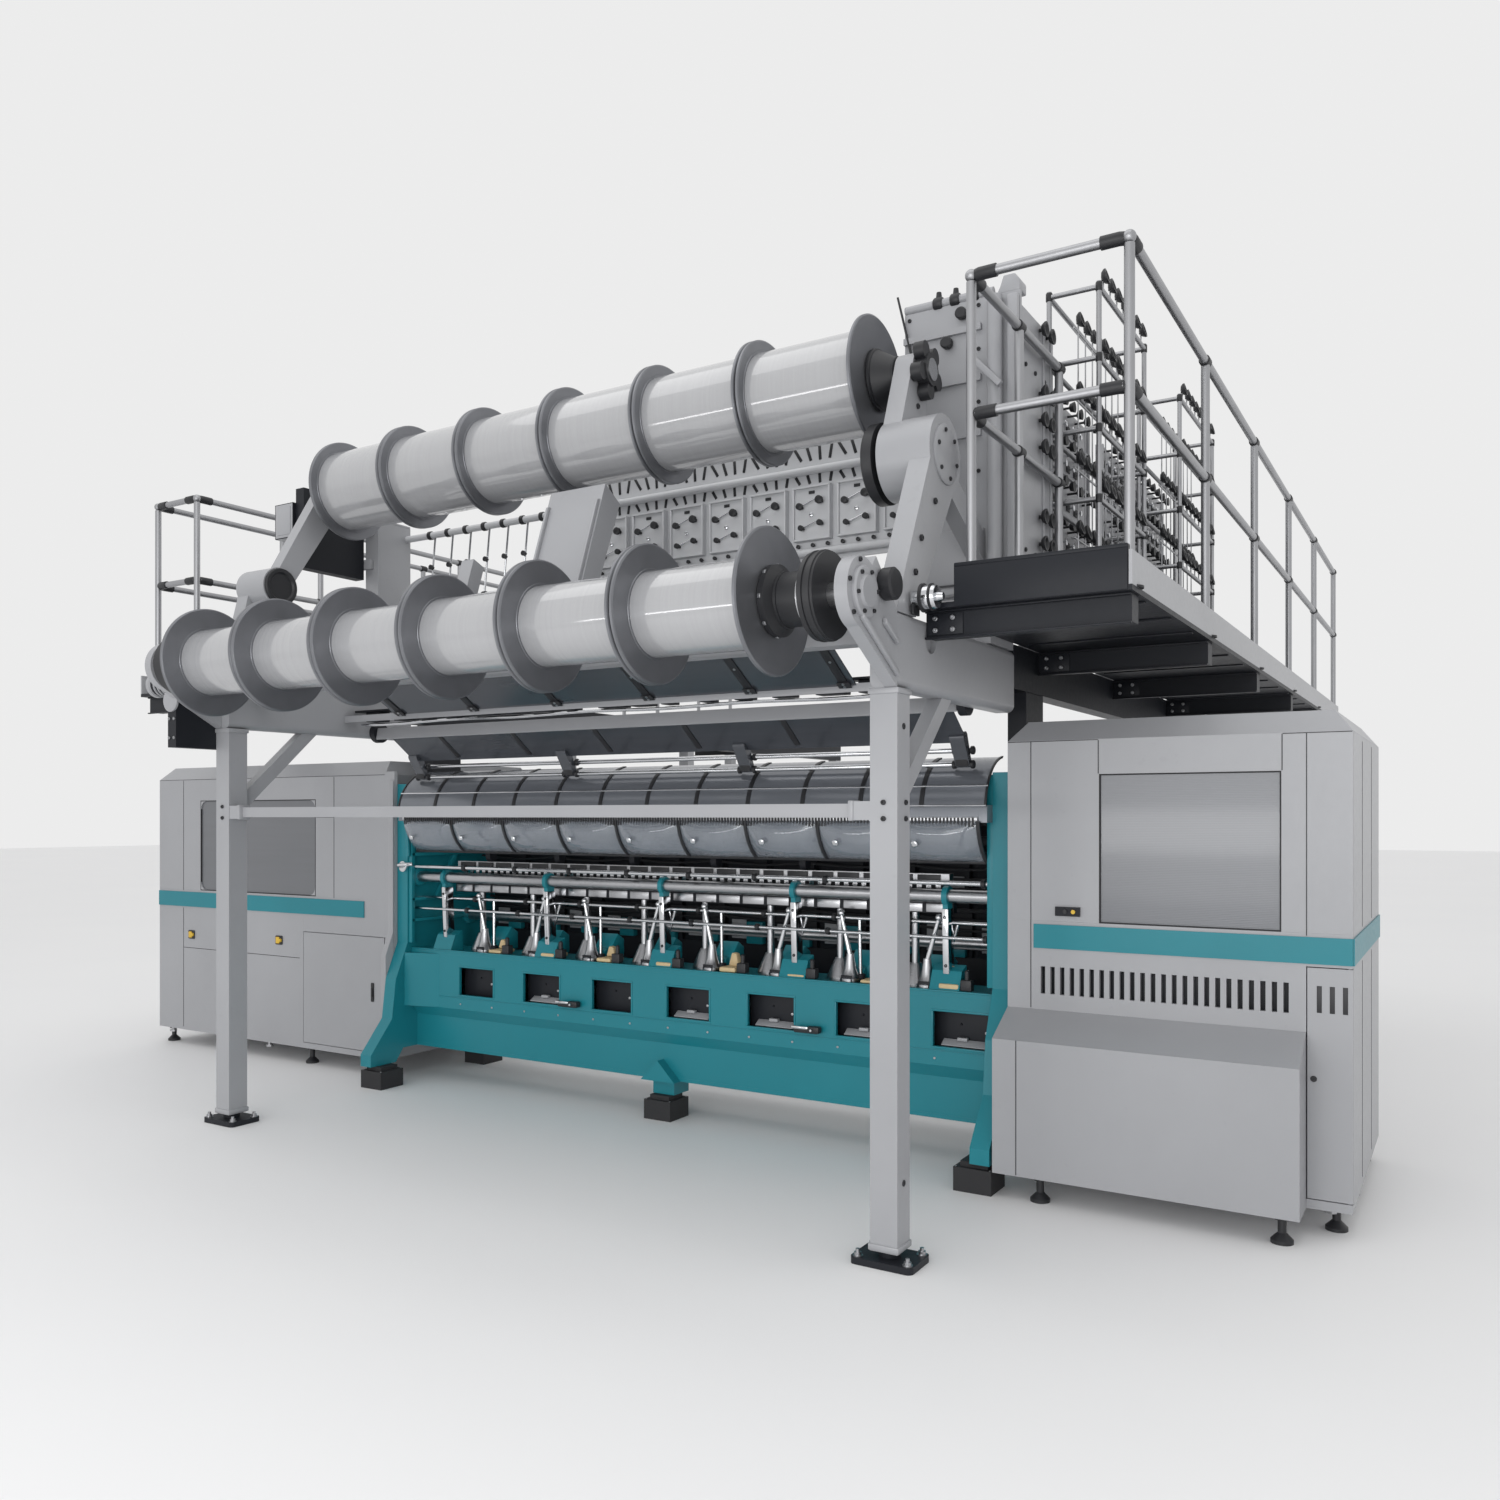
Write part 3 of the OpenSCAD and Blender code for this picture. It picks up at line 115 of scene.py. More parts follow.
class Graph:
    """One material's node tree, with its Principled shader."""

    def __init__(self, name: str) -> None:
        """Starts a material with an empty Principled surface.

        Args:
            name: Name of the material.
        """
        self.material = bpy.data.materials.new(name)
        self.material.use_nodes = True
        self.tree = self.material.node_tree
        self.shader = self.tree.nodes["Principled BSDF"]

    def node(self, kind: str, settings: dict, inputs: dict, output: Union[int, str] = 0) -> Value:
        """Adds any shader node.

        Args:
            kind: The node's type without its ShaderNode prefix.
            settings: Properties to set first; the key stops fills a colour ramp.
            inputs: Socket values or links, by socket name or number.
            output: The output socket to return.

        Returns:
            The node's output, ready for more maths.
        """
        made = self.tree.nodes.new("ShaderNode" + kind)
        for key, value in settings.items():
            if key == "stops":
                self._fill_ramp(made.color_ramp, value)
            else:
                setattr(made, key, value)
        for key, value in inputs.items():
            self.feed(made.inputs[key], value)
        return Value(self, made.outputs[output])

    @staticmethod
    def _fill_ramp(ramp: bpy.types.ColorRamp, stops: Sequence[Span]) -> None:
        """Sets a ramp to grey stops of (place, brightness)."""
        while len(ramp.elements) < len(stops):
            ramp.elements.new(0.5)
        for element, (place, level) in zip(ramp.elements, stops):
            element.position = place
            element.color = (level, level, level, 1.0)

    def feed(self, socket: bpy.types.NodeSocket, value: object) -> None:
        """Links a shader value to a socket, or sets the socket to a constant."""
        if isinstance(value, Value):
            self.tree.links.new(value.socket, socket)
        elif isinstance(value, tuple) and len(value) == 3 and len(socket.default_value) == 4:
            socket.default_value = (*value, 1.0)
        else:
            socket.default_value = value

    def set(self, **values: object) -> None:
        """Feeds Principled sockets; an underscore in a name stands for a space."""
        for name, value in values.items():
            self.feed(self.shader.inputs[name.replace("_", " ")], value)

    def place(self) -> Value:
        """The point on the surface, in metres in the piece's own frame."""
        return self.node("TexCoord", {}, {}, "Object")

    def axes(self) -> tuple[Value, Value, Value]:
        """The point's X, Y and Z as three values."""
        split = self.node("SeparateXYZ", {}, {0: self.place()})
        outputs = split.socket.node.outputs
        return tuple(Value(self, outputs[i]) for i in range(3))

    def stretched(self, stretch: Point) -> Value:
        """The point with each axis scaled, for streaks and grain."""
        return self.node("VectorMath", {"operation": "MULTIPLY"}, {0: self.place(), 1: tuple(stretch)})

    def noise(self, scale: float, detail: float = 2.0, stretch: Point = (1, 1, 1)) -> Value:
        """Noise from 0 to 1 with a scale in waves per metre."""
        return self.node("TexNoise", {}, {"Vector": self.stretched(stretch), "Scale": scale,
                                          "Detail": detail})

    def mix(self, mask: Operand, low: Union[Value, Colour], high: Union[Value, Colour]) -> Value:
        """Blends two colours by a mask.

        Args:
            mask: Zero for the low colour, one for the high one.
            low: The first colour.
            high: The second colour.

        Returns:
            The blended colour.
        """
        made = self.tree.nodes.new("ShaderNodeMix")
        made.data_type = "RGBA"
        for index, value in ((0, mask), (6, low), (7, high)):
            self.feed(made.inputs[index], value)
        return Value(self, made.outputs[2])

    def bump(self, height: Value, depth: float, strength: float = 1.0) -> None:
        """Feeds a Bump of the given depth in metres into the shader's Normal."""
        self.set(Normal=self.node("Bump", {}, {"Height": height, "Distance": depth, "Strength": strength}))


def shade(colour: Colour, factor: float) -> Colour:
    """A colour made lighter or darker by a factor."""
    return tuple(min(1.0, channel * factor) for channel in colour)


@dataclass(frozen=True)
class Finish:
    """One finish: its material's name, the record's slot that it belongs to and its colour."""
    name: str
    slot: str
    colour: Colour

    @cached_property
    def material(self) -> bpy.types.Material:
        """The material, made when it is first used.

        Returns:
            The material.
        """
        graph = Graph(self.name)
        self.lay(graph)
        return graph.material

    def lay(self, g: Graph) -> None:
        """Lays the finish on a graph; every kind of finish has its own way.

        Args:
            g: The graph of its material.
        """
        raise NotImplementedError

    def tone(self, g: Graph, mask: Operand, low: float, high: float) -> Value:
        """The colour between two shades of itself, by a mask."""
        return g.mix(mask, shade(self.colour, low), shade(self.colour, high))


@dataclass(frozen=True)
class Paint(Finish):
    """Sprayed machine paint: orange peel, faint mottling and dusty wear."""
    rough: float = 0.38
    peel: float = 0.00012
    mottle: float = 0.10
    coat: float = 0.15
    gloss: float = 0.5

    def lay(self, g: Graph) -> None:
        """Lays the paint.

        Args:
            g: The graph of its material.
        """
        broad = g.noise(1.7, 4.0)
        fine = g.noise(38.0, 3.0)
        tone = self.tone(g, broad, 1 - self.mottle, 1 + self.mottle)
        dust = (g.noise(6.0, 5.0) * fine).above(0.42) * 0.10
        g.set(Base_Color=g.mix(dust, tone, shade(self.colour, 0.72)),
              Roughness=self.rough - 0.07 + fine * 0.14,
              Coat_Weight=self.coat, Coat_Roughness=0.22, Specular_IOR_Level=self.gloss)
        g.bump(g.noise(420.0, 2.0), self.peel)


@dataclass(frozen=True)
class Turned(Finish):
    """Lathe-turned dark metal with fine rings about an axis along X."""
    axis_y: float
    axis_z: float
    rough: float = 0.32
    metal: float = 0.70
    rings: float = 2600.0

    def lay(self, g: Graph) -> None:
        """Lays the turned finish.

        Args:
            g: The graph of its material.
        """
        _, y, z = g.axes()
        dy = y - self.axis_y
        dz = z - self.axis_z
        radius = (dy * dy + dz * dz) ** 0.5
        groove = (radius * self.rings).sine()
        sweep = g.noise(9.0, 3.0)
        g.set(Base_Color=self.tone(g, sweep, 0.86, 1.16),
              Metallic=self.metal, Roughness=self.rough + groove * 0.05 + sweep * 0.06)
        g.bump(groove + g.noise(160.0, 2.0) * 0.8, 0.00006)


@dataclass(frozen=True)
class Wound(Finish):
    """Smooth white filament wound round a beam, turn beside turn."""
    turns: float = 3900.0

    def lay(self, g: Graph) -> None:
        """Lays the wound yarn.

        Args:
            g: The graph of its material.
        """
        x, _, _ = g.axes()
        turn = (x * self.turns).sine()
        bands = g.noise(1.0, 5.0, (90.0, 0.6, 0.6))
        soft = g.noise(14.0, 2.0, (3.0, 0.4, 0.4))
        tone = self.tone(g, bands, 0.95, 1.03)
        g.set(Base_Color=g.mix(soft * 0.30, tone, shade(self.colour, 0.90)),
              Roughness=0.25 + bands * 0.04 + turn * 0.02,
              Coat_Weight=1.0, Coat_Roughness=0.05, Coat_IOR=1.9)
        g.bump(turn * 0.5 + bands * 0.3, 0.00003)


@dataclass(frozen=True)
class Metal(Finish):
    """Bare metal, ground along one axis or polished."""
    rough: float = 0.24
    grain: Point = (2.0, 60.0, 60.0)

    def lay(self, g: Graph) -> None:
        """Lays the metal.

        Args:
            g: The graph of its material.
        """
        lines = g.noise(14.0, 4.0, self.grain)
        cloud = g.noise(5.0, 3.0)
        g.set(Base_Color=self.tone(g, cloud, 0.88, 1.06),
              Metallic=1.0, Roughness=self.rough - 0.06 + lines * 0.14)
        g.bump(lines, 0.00005)


@dataclass(frozen=True)
class Plastic(Finish):
    """Moulded plastic or rubber with a fine spark-eroded grain."""
    rough: float = 0.46
    grain: float = 700.0
    depth: float = 0.00012

    def lay(self, g: Graph) -> None:
        """Lays the plastic.

        Args:
            g: The graph of its material.
        """
        worn = g.noise(11.0, 4.0)
        g.set(Base_Color=self.tone(g, worn, 0.85, 1.35),
              Roughness=self.rough - 0.08 + worn * 0.16)
        g.bump(g.noise(self.grain, 2.0), self.depth)


@dataclass(frozen=True)
class Sheet(Finish):
    """Dark lacquered sheet with a soft sheen and faint rolling lines."""
    rough: float = 0.20
    metal: float = 0.35

    def lay(self, g: Graph) -> None:
        """Lays the sheet finish.

        Args:
            g: The graph of its material.
        """
        rolled = g.noise(3.0, 4.0, (0.6, 9.0, 9.0))
        smear = g.noise(8.0, 4.0)
        g.set(Base_Color=self.tone(g, rolled, 0.90, 1.12),
              Metallic=self.metal, Roughness=self.rough + smear * 0.06, Coat_Weight=0.4, Coat_Roughness=0.12)
        g.bump(rolled + smear * 0.4, 0.0003, 0.15)


@dataclass(frozen=True)
class Pane(Finish):
    """Satin window panel with fine level lines, like ribbed privacy film."""
    lines: float = 900.0

    def lay(self, g: Graph) -> None:
        """Lays the pane.

        Args:
            g: The graph of its material.
        """
        _, _, z = g.axes()
        line = (z * self.lines).sine()
        streak = g.noise(2.2, 4.0, (0.5, 1.0, 14.0))
        fall = g.noise(0.9, 1.0)
        tone = self.tone(g, streak, 0.90, 1.10)
        g.set(Base_Color=g.mix(fall * 0.5, tone, shade(self.colour, 0.80)),
              Metallic=0.25, Roughness=0.30 + streak * 0.12, Coat_Weight=0.5, Coat_Roughness=0.08)
        g.bump(line + streak, 0.00010)


@dataclass(frozen=True)
class Clear(Finish):
    """Clear thermoformed plastic with slight waves; the same waves make patches more opaque and paler, as
    painted reflections.
    """
    alpha: float = 0.34

    def lay(self, g: Graph) -> None:
        """Lays the clear plastic.

        Args:
            g: The graph of its material.
        """
        wave_and_reflection = g.noise(7.0, 3.0)
        # Patches of higher opacity and paler colour from the waves stand in for reflections: painted
        # reflection.
        g.set(Base_Color=g.mix(wave_and_reflection, shade(self.colour, 0.9), self.colour),
              Roughness=0.06 + wave_and_reflection * 0.06, Alpha=self.alpha + wave_and_reflection * 0.16,
              Coat_Weight=1.0, Coat_Roughness=0.03, Specular_IOR_Level=0.9)
        g.bump(wave_and_reflection, 0.003, 0.5)
        g.material.surface_render_method = "BLENDED"


FLANGE_GREY = (0.205, 0.210, 0.226)
LOWER_AXIS = (-1.640, 2.420)
UPPER_AXIS = (-0.780, 3.480)

LIGHT = Paint("light_grey_paint", "grey_paint", (0.335, 0.340, 0.357))
# Brighter copy of the light grey paint: painted light that lifts the guide panel and its cell rims out of the
# upper beam's shade.
PANEL_WITH_PAINTED_LIGHT = Paint("panel_paint_with_painted_light", "grey_paint", (0.560, 0.568, 0.585))
TEAL = Paint("teal_paint", "teal_paint", (0.010, 0.200, 0.245), rough=0.36, coat=0.08, gloss=0.35)
DARK = Paint("charcoal_paint", "dark_paint", (0.015, 0.0165, 0.021), rough=0.46, mottle=0.18, coat=0.02,
             gloss=0.22)
LOWER_FLANGE = Turned("lower_flange_metal", "dark_paint", FLANGE_GREY, *LOWER_AXIS)
UPPER_FLANGE = Turned("upper_flange_metal", "dark_paint", FLANGE_GREY, *UPPER_AXIS)
YARN = Wound("white_filament", "yarn", (0.365, 0.368, 0.380))
STEEL = Metal("ground_steel", "steel", (0.46, 0.465, 0.48), rough=0.28)
TUBE = Metal("satin_tube", "steel", (0.40, 0.404, 0.418), rough=0.40, grain=(0.4, 0.4, 0.4))
CHROME = Metal("polished_chrome", "steel", (0.66, 0.67, 0.69), rough=0.12)
BLACK = Plastic("black_plastic", "black_plastic", (0.014, 0.0145, 0.017))
RUBBER = Plastic("black_rubber", "rubber", (0.018, 0.018, 0.020), rough=0.72, grain=260.0, depth=0.0004)
YELLOW = Plastic("yellow_plastic", "yellow_plastic", (0.62, 0.40, 0.035))
CREAM = Plastic("cream_plastic", "yellow_plastic", (0.56, 0.43, 0.24), rough=0.5)
SHIELD = Sheet("shield_lacquer", "shield_sheet", (0.072, 0.078, 0.091))
# Lighter copy of the shield lacquer: painted light on the curved covers, against the dark reflections of the
# shield and beams above them.
COVER_WITH_PAINTED_LIGHT = Sheet("cover_lacquer_with_painted_light", "shield_sheet", (0.180, 0.192, 0.216))
PANE = Pane("satin_pane", "frosted_glass", (0.155, 0.161, 0.174))
CLEAR = Clear("clear_plastic", "clear_plastic", (0.34, 0.375, 0.425))


class Axis(Enum):
    """The direction a prism or a turned shape is drawn along."""
    X = 0
    Y = 1
    Z = 2

    def lift(self, along: float, across: float, up: float) -> Vector:
        """The point at a place along this axis, with two places across it.

        Args:
            along: Place on the axis.
            across: Y for X, X for Y and Z.
            up: Z for X and Y, Y for Z.

        Returns:
            The point.
        """
        if self is Axis.X:
            return Vector((along, across, up))
        if self is Axis.Y:
            return Vector((across, along, up))
        return Vector((across, up, along))


class Form:
    """A mesh put together from simple closed shapes, then shown as one piece."""

    def __init__(self) -> None:
        """Starts an empty mesh."""
        self.mesh = bmesh.new()

    def _loft(self, rings: Sequence[Sequence[Vector]], caps: bool = True) -> list:
        """Skins a row of rings that have equal counts.

        Args:
            rings: Rings of points, each in the same order.
            caps: Whether the two ends are closed.

        Returns:
            The new vertices.
        """
        rows = [[self.mesh.verts.new(point) for point in ring] for ring in rings]
        count = len(rows[0])
        for low, high in zip(rows, rows[1:]):
            for i in range(count):
                j = (i + 1) % count
                self.mesh.faces.new((low[i], low[j], high[j], high[i]))
        if caps:
            self.mesh.faces.new(list(reversed(rows[0])))
            self.mesh.faces.new(rows[-1])
        return [vert for row in rows for vert in row]

    def _soften(self, verts: list, bevel: float, segments: int = 2) -> None:
        """Bevels the sharp edges between the given vertices.

        Args:
            verts: The vertices.
            bevel: Width of the bevels; nothing is done at zero.
            segments: Steps across a bevel.
        """
        if bevel <= 0:
            return
        chosen = set(verts)
        self.mesh.normal_update()
        edges = [edge for edge in self.mesh.edges
                 if edge.verts[0] in chosen and edge.verts[1] in chosen and len(edge.link_faces) == 2
                 and edge.calc_face_angle(0.0) > SHARP_EDGE]
        bmesh.ops.bevel(self.mesh, geom=edges, offset=bevel, segments=segments, profile=0.5, affect="EDGES")

    def box(self, low: Point, high: Point, bevel: float = 0.003, turn: Optional[Matrix] = None) -> None:
        """Adds a block between two corners.

        Args:
            low: Lowest corner.
            high: Highest corner.
            bevel: Width of the rounded edges.
            turn: Matrix that moves the block into place.
        """
        rings = [[Vector((x, y, z)) for x,
                  y in ((low[0], low[1]), (high[0], low[1]), (high[0], high[1]), (low[0], high[1]))]
                 for z in (low[2], high[2])]
        if turn is not None:
            rings = [[turn @ point for point in ring] for ring in rings]
        self._soften(self._loft(rings), bevel)

    def row(self, count: int, step: Point, low: Point, high: Point, bevel: float = 0.0) -> None:
        """Adds a row of equal blocks.

        Args:
            count: Number of blocks.
            step: The way from one block to the next.
            low: Lowest corner of the first one.
            high: Highest corner of the first one.
            bevel: Width of the rounded edges.
        """
        for i in range(count):
            shift = Vector(step) * i
            self.box(Vector(low) + shift, Vector(high) + shift, bevel)

    def prism(self, axis: Axis, start: float, end: float, outline: Sequence[Point],
              bevel: float = 0.0) -> None:
        """Adds a flat outline drawn out along an axis.

        Args:
            axis: Direction it is drawn along.
            start: Place where it starts.
            end: Place where it ends.
            outline: Points across the axis, in the order of Axis.lift.
            bevel: Width of the rounded edges.
        """
        rings = [[axis.lift(along, a, b) for a, b in outline] for along in (start, end)]
        self._soften(self._loft(rings), bevel)

    def rod(self, start: Point, end: Point, radius: float, tip: Optional[float] = None,
            sides: int = 16) -> None:
        """Adds a round bar or a cone between two points.

        Args:
            start: Middle of one end.
            end: Middle of the other end.
            radius: Radius at the start.
            tip: Radius at the end, the same as at the start if it is left out.
            sides: Number of sides.
        """
        length = (Vector(end) - Vector(start)).length
        self.turned([(0.0, radius), (length, radius if tip is None else tip)], start,
                    Vector(end) - Vector(start), sides)

    def turned(self, profile: Sequence[Span], start: Point, axis: Point, sides: int = 24) -> None:
        """Adds a shape turned about an axis.

        Args:
            profile: (Place along the axis, radius) from one end to the other.
            start: Where the profile's place is zero.
            axis: Direction of the axis.
            sides: Number of sides.
        """
        ahead = Vector(axis).normalized()
        aside = ahead.orthogonal().normalized()
        over = ahead.cross(aside)
        steps = [(math.cos(2 * math.pi * i / sides), math.sin(2 * math.pi * i / sides)) for i in range(sides)]
        base = Vector(start)
        self._loft([[base + ahead * place + (aside * c + over * s) * max(radius, POINT_R) for c, s in steps]
                    for place, radius in profile])

    def tube(self, path: Sequence[Point], radius: float, sides: int = 10) -> None:
        """Adds a round bar bent along a path.

        Args:
            path: Points that it follows.
            radius: Its radius.
            sides: Number of sides.
        """
        points = [Vector(point) for point in path]
        heads = [(b - a).normalized() for a, b in zip(points, points[1:])]
        side = heads[0].orthogonal().normalized()
        turns = [2 * math.pi * k / sides for k in range(sides)]
        rings = []
        for i, point in enumerate(points):
            ahead = (heads[max(i - 1, 0)] + heads[min(i, len(heads) - 1)]).normalized()
            side = (side - ahead * side.dot(ahead)).normalized()
            over = ahead.cross(side)
            rings.append([point + (side * math.cos(t) + over * math.sin(t)) * radius for t in turns])
        self._loft(rings)

    def ball(self, centre: Point, radius: float, squash: float = 1.0) -> None:
        """Adds a ball, flattened along Z if squash is under one."""
        matrix = Matrix.Translation(Vector(centre)) @ Matrix.Diagonal((radius, radius, radius * squash, 1.0))
        bmesh.ops.create_uvsphere(self.mesh, u_segments=16, v_segments=10, radius=1.0, matrix=matrix)

    def skin(self, rings: Sequence[Sequence[Point]], caps: bool = True) -> None:
        """Adds a skin through rings of points."""
        self._loft([[Vector(point) for point in ring] for ring in rings], caps)

    def collar(self, at: Point, axis: Point, radius: float, width: float, edge: Span,
               sides: int) -> None:
        """Adds a round collar with slanted edges.

        Args:
            at: Middle of its near end.
            axis: Direction of its axis.
            radius: Its radius.
            width: Its width along the axis.
            edge: How far the slant runs along the axis and inwards.
            sides: Number of sides.
        """
        run, drop = edge
        self.turned([(0.0, radius - drop), (run, radius), (width - run, radius), (width, radius - drop)],
                           at, axis, sides)

    def screw(self, at: Point, axis: Point, radius: float, height: float) -> None:
        """Adds one socket screw.

        Args:
            at: Middle of the head's underside.
            axis: Direction that the head faces.
            radius: Radius of the head.
            height: Height of the head.
        """
        self.turned([(0, radius), (height * 0.8, radius), (height, radius * 0.8), (height, radius * 0.45),
                            (height * 0.4, radius * 0.4)], at, axis, 10)

    def screw_ring(self, centre: Point, axis: Point, ring: float, count: int, radius: float, height: float,
                   start: float = 0.0) -> None:
        """Adds a ring of socket screws round an axis.

        Args:
            centre: Middle of the ring.
            axis: Direction that the heads face.
            ring: Radius of the ring.
            count: Number of screws.
            radius: Radius of a head.
            height: Height of a head.
            start: Angle of the first one in radians.
        """
        ahead = Vector(axis).normalized()
        aside = ahead.orthogonal().normalized()
        over = ahead.cross(aside)
        for i in range(count):
            angle = start + 2 * math.pi * i / count
            at = Vector(centre) + (aside * math.cos(angle) + over * math.sin(angle)) * ring
            self.screw(at, axis, radius, height)

    def frame(self, x: Span, z: Span, y: Span, width: float,
              bevel: float) -> None:
        """Adds four bars round an opening in a wall that faces the front.

        Args:
            x: Left and right edge of the opening.
            z: Lower and upper edge of the opening.
            y: Front and back of the bars.
            width: Width of the bars, outwards from the opening.
            bevel: Width of their rounded edges.
        """
        self.box((x[0] - width, y[0], z[0] - width), (x[1] + width, y[1], z[0]), bevel)
        self.box((x[0] - width, y[0], z[1]), (x[1] + width, y[1], z[1] + width), bevel)
        self.box((x[0] - width, y[0], z[0]), (x[0], y[1], z[1]), bevel)
        self.box((x[1], y[0], z[0]), (x[1] + width, y[1], z[1]), bevel)

    def show(self, name: str, finish: Finish, body: str = ROOT) -> None:
        """Turns the mesh into a piece of the machine.

        Args:
            name: The piece's name.
            finish: Its finish.
            body: The body that it moves with.
        """
        bmesh.ops.recalc_face_normals(self.mesh, faces=self.mesh.faces)
        data = bpy.data.meshes.new(name)
        self.mesh.to_mesh(data)
        self.mesh.free()
        data.shade_smooth()
        data.set_sharp_from_angle(angle=SMOOTH_TURN)
        data.materials.append(finish.material)
        made = bpy.data.objects.new(name, data)
        bpy.context.scene.collection.objects.link(made)
        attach(made, body)
        LOG.info("piece %s on %s: %d faces", name, body, len(data.polygons))


class Kit:
    """Forms that are built together on one body, each with its piece's name and finish."""

    def __init__(self, body: str = ROOT, **finishes: Finish) -> None:
        """Starts an empty form for every piece."""
        self.body = body
        self.pieces = [(Form(), name, finish) for name, finish in finishes.items()]

    def __iter__(self) -> Iterator[Form]:
        """The forms, in the order of the pieces."""
        return (form for form, _, _ in self.pieces)

    def show(self) -> None:
        """Turns every form into its piece."""
        for form, name, finish in self.pieces:
            form.show(name, finish, self.body)


@dataclass
class Dressing:
    """Puts the finishes and softened edges on the solids."""
    bevel: float = 0.003
    sharp: float = math.radians(50)

    def nodes(self) -> list[tuple[Finish, float, str]]:
        """The finish, the edge width factor and the node names that share them."""
        return [
            (TEAL, 2.0, "front_girder side_frame_left side_frame_right roller_stands"),
            (TEAL, 0.3, "cabinet_bands"),
            (RUBBER, 3.0, "machine_pads"),
            (DARK, 1.0, "post_feet frame_heads rear_guard control_plate let_off_drives"),
            (LIGHT, 1.6, "front_posts post_braces side_beams beam_brackets upper_arms centre_support"),
            (LIGHT, 1.0, "tie_bar towers toe_boards rear_posts guide_walls"),
            # The guide panel takes the brighter copy of the grey paint, as painted light against the upper
            # beam's shade.
            (PANEL_WITH_PAINTED_LIGHT, 1.0, "guide_panel"),
            (LIGHT, 2.5, "right_cabinet left_cabinet"),
            (LIGHT, 1.2, "service_door left_door"),
            (STEEL, 0.5, "lower_beam_shaft upper_beam_shaft main_shaft push_rods front_roller rear_roller"),
            (STEEL, 0.5, "rod_bosses guide_bar"),
            (TUBE, 0.5, "guard_rails creel_racks"),
            (LOWER_FLANGE, 1.0, "lower_beam_flanges"),
            (UPPER_FLANGE, 1.0, "upper_beam_flanges"),
            (YARN, 0.5, "lower_beam_yarn upper_beam_yarn"),
            (BLACK, 1.0, "lower_beam_hubs upper_beam_hubs star_knob lock_knob let_off_wheel"),
            (BLACK, 0.6, "cabinet_feet start_button yarn_guides"),
            (DARK, 0.8, "guide_rocker needle_bar main_motor gallery_beams gallery_decks"),
            (YELLOW, 0.4, "stop_button"),
            (PANE, 0.6, "cabinet_windows"),
            (SHIELD, 0.4, "front_shield upper_shield"),
            # The covers take the lighter copy of the shield lacquer, as painted light.
            (COVER_WITH_PAINTED_LIGHT, 0.4, "cover_panels"),
            (CLEAR, 0.0, "clear_shields"),
        ]

    def build(self) -> None:
        """Dresses every solid."""
        left = set(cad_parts)
        for finish, factor, names in self.nodes():
            for name in names.split():
                self.dress(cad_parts[name], finish, self.bevel * factor)
                left.discard(name)
        LOG.info("solids without a finish: %s", sorted(left) or "none")

    def dress(self, node: bpy.types.Object, finish: Finish, width: float) -> None:
        """Gives one solid its finish and its softened edges.

        Args:
            node: The solid.
            finish: Its finish.
            width: Width of the softened edges.
        """
        node.data.materials.clear()
        node.data.materials.append(finish.material)
        if width > 0:
            soft = node.modifiers.new("soft_edges", "BEVEL")
            soft.width = width
            soft.segments = 2
            soft.limit_method = "ANGLE"
            soft.angle_limit = self.sharp


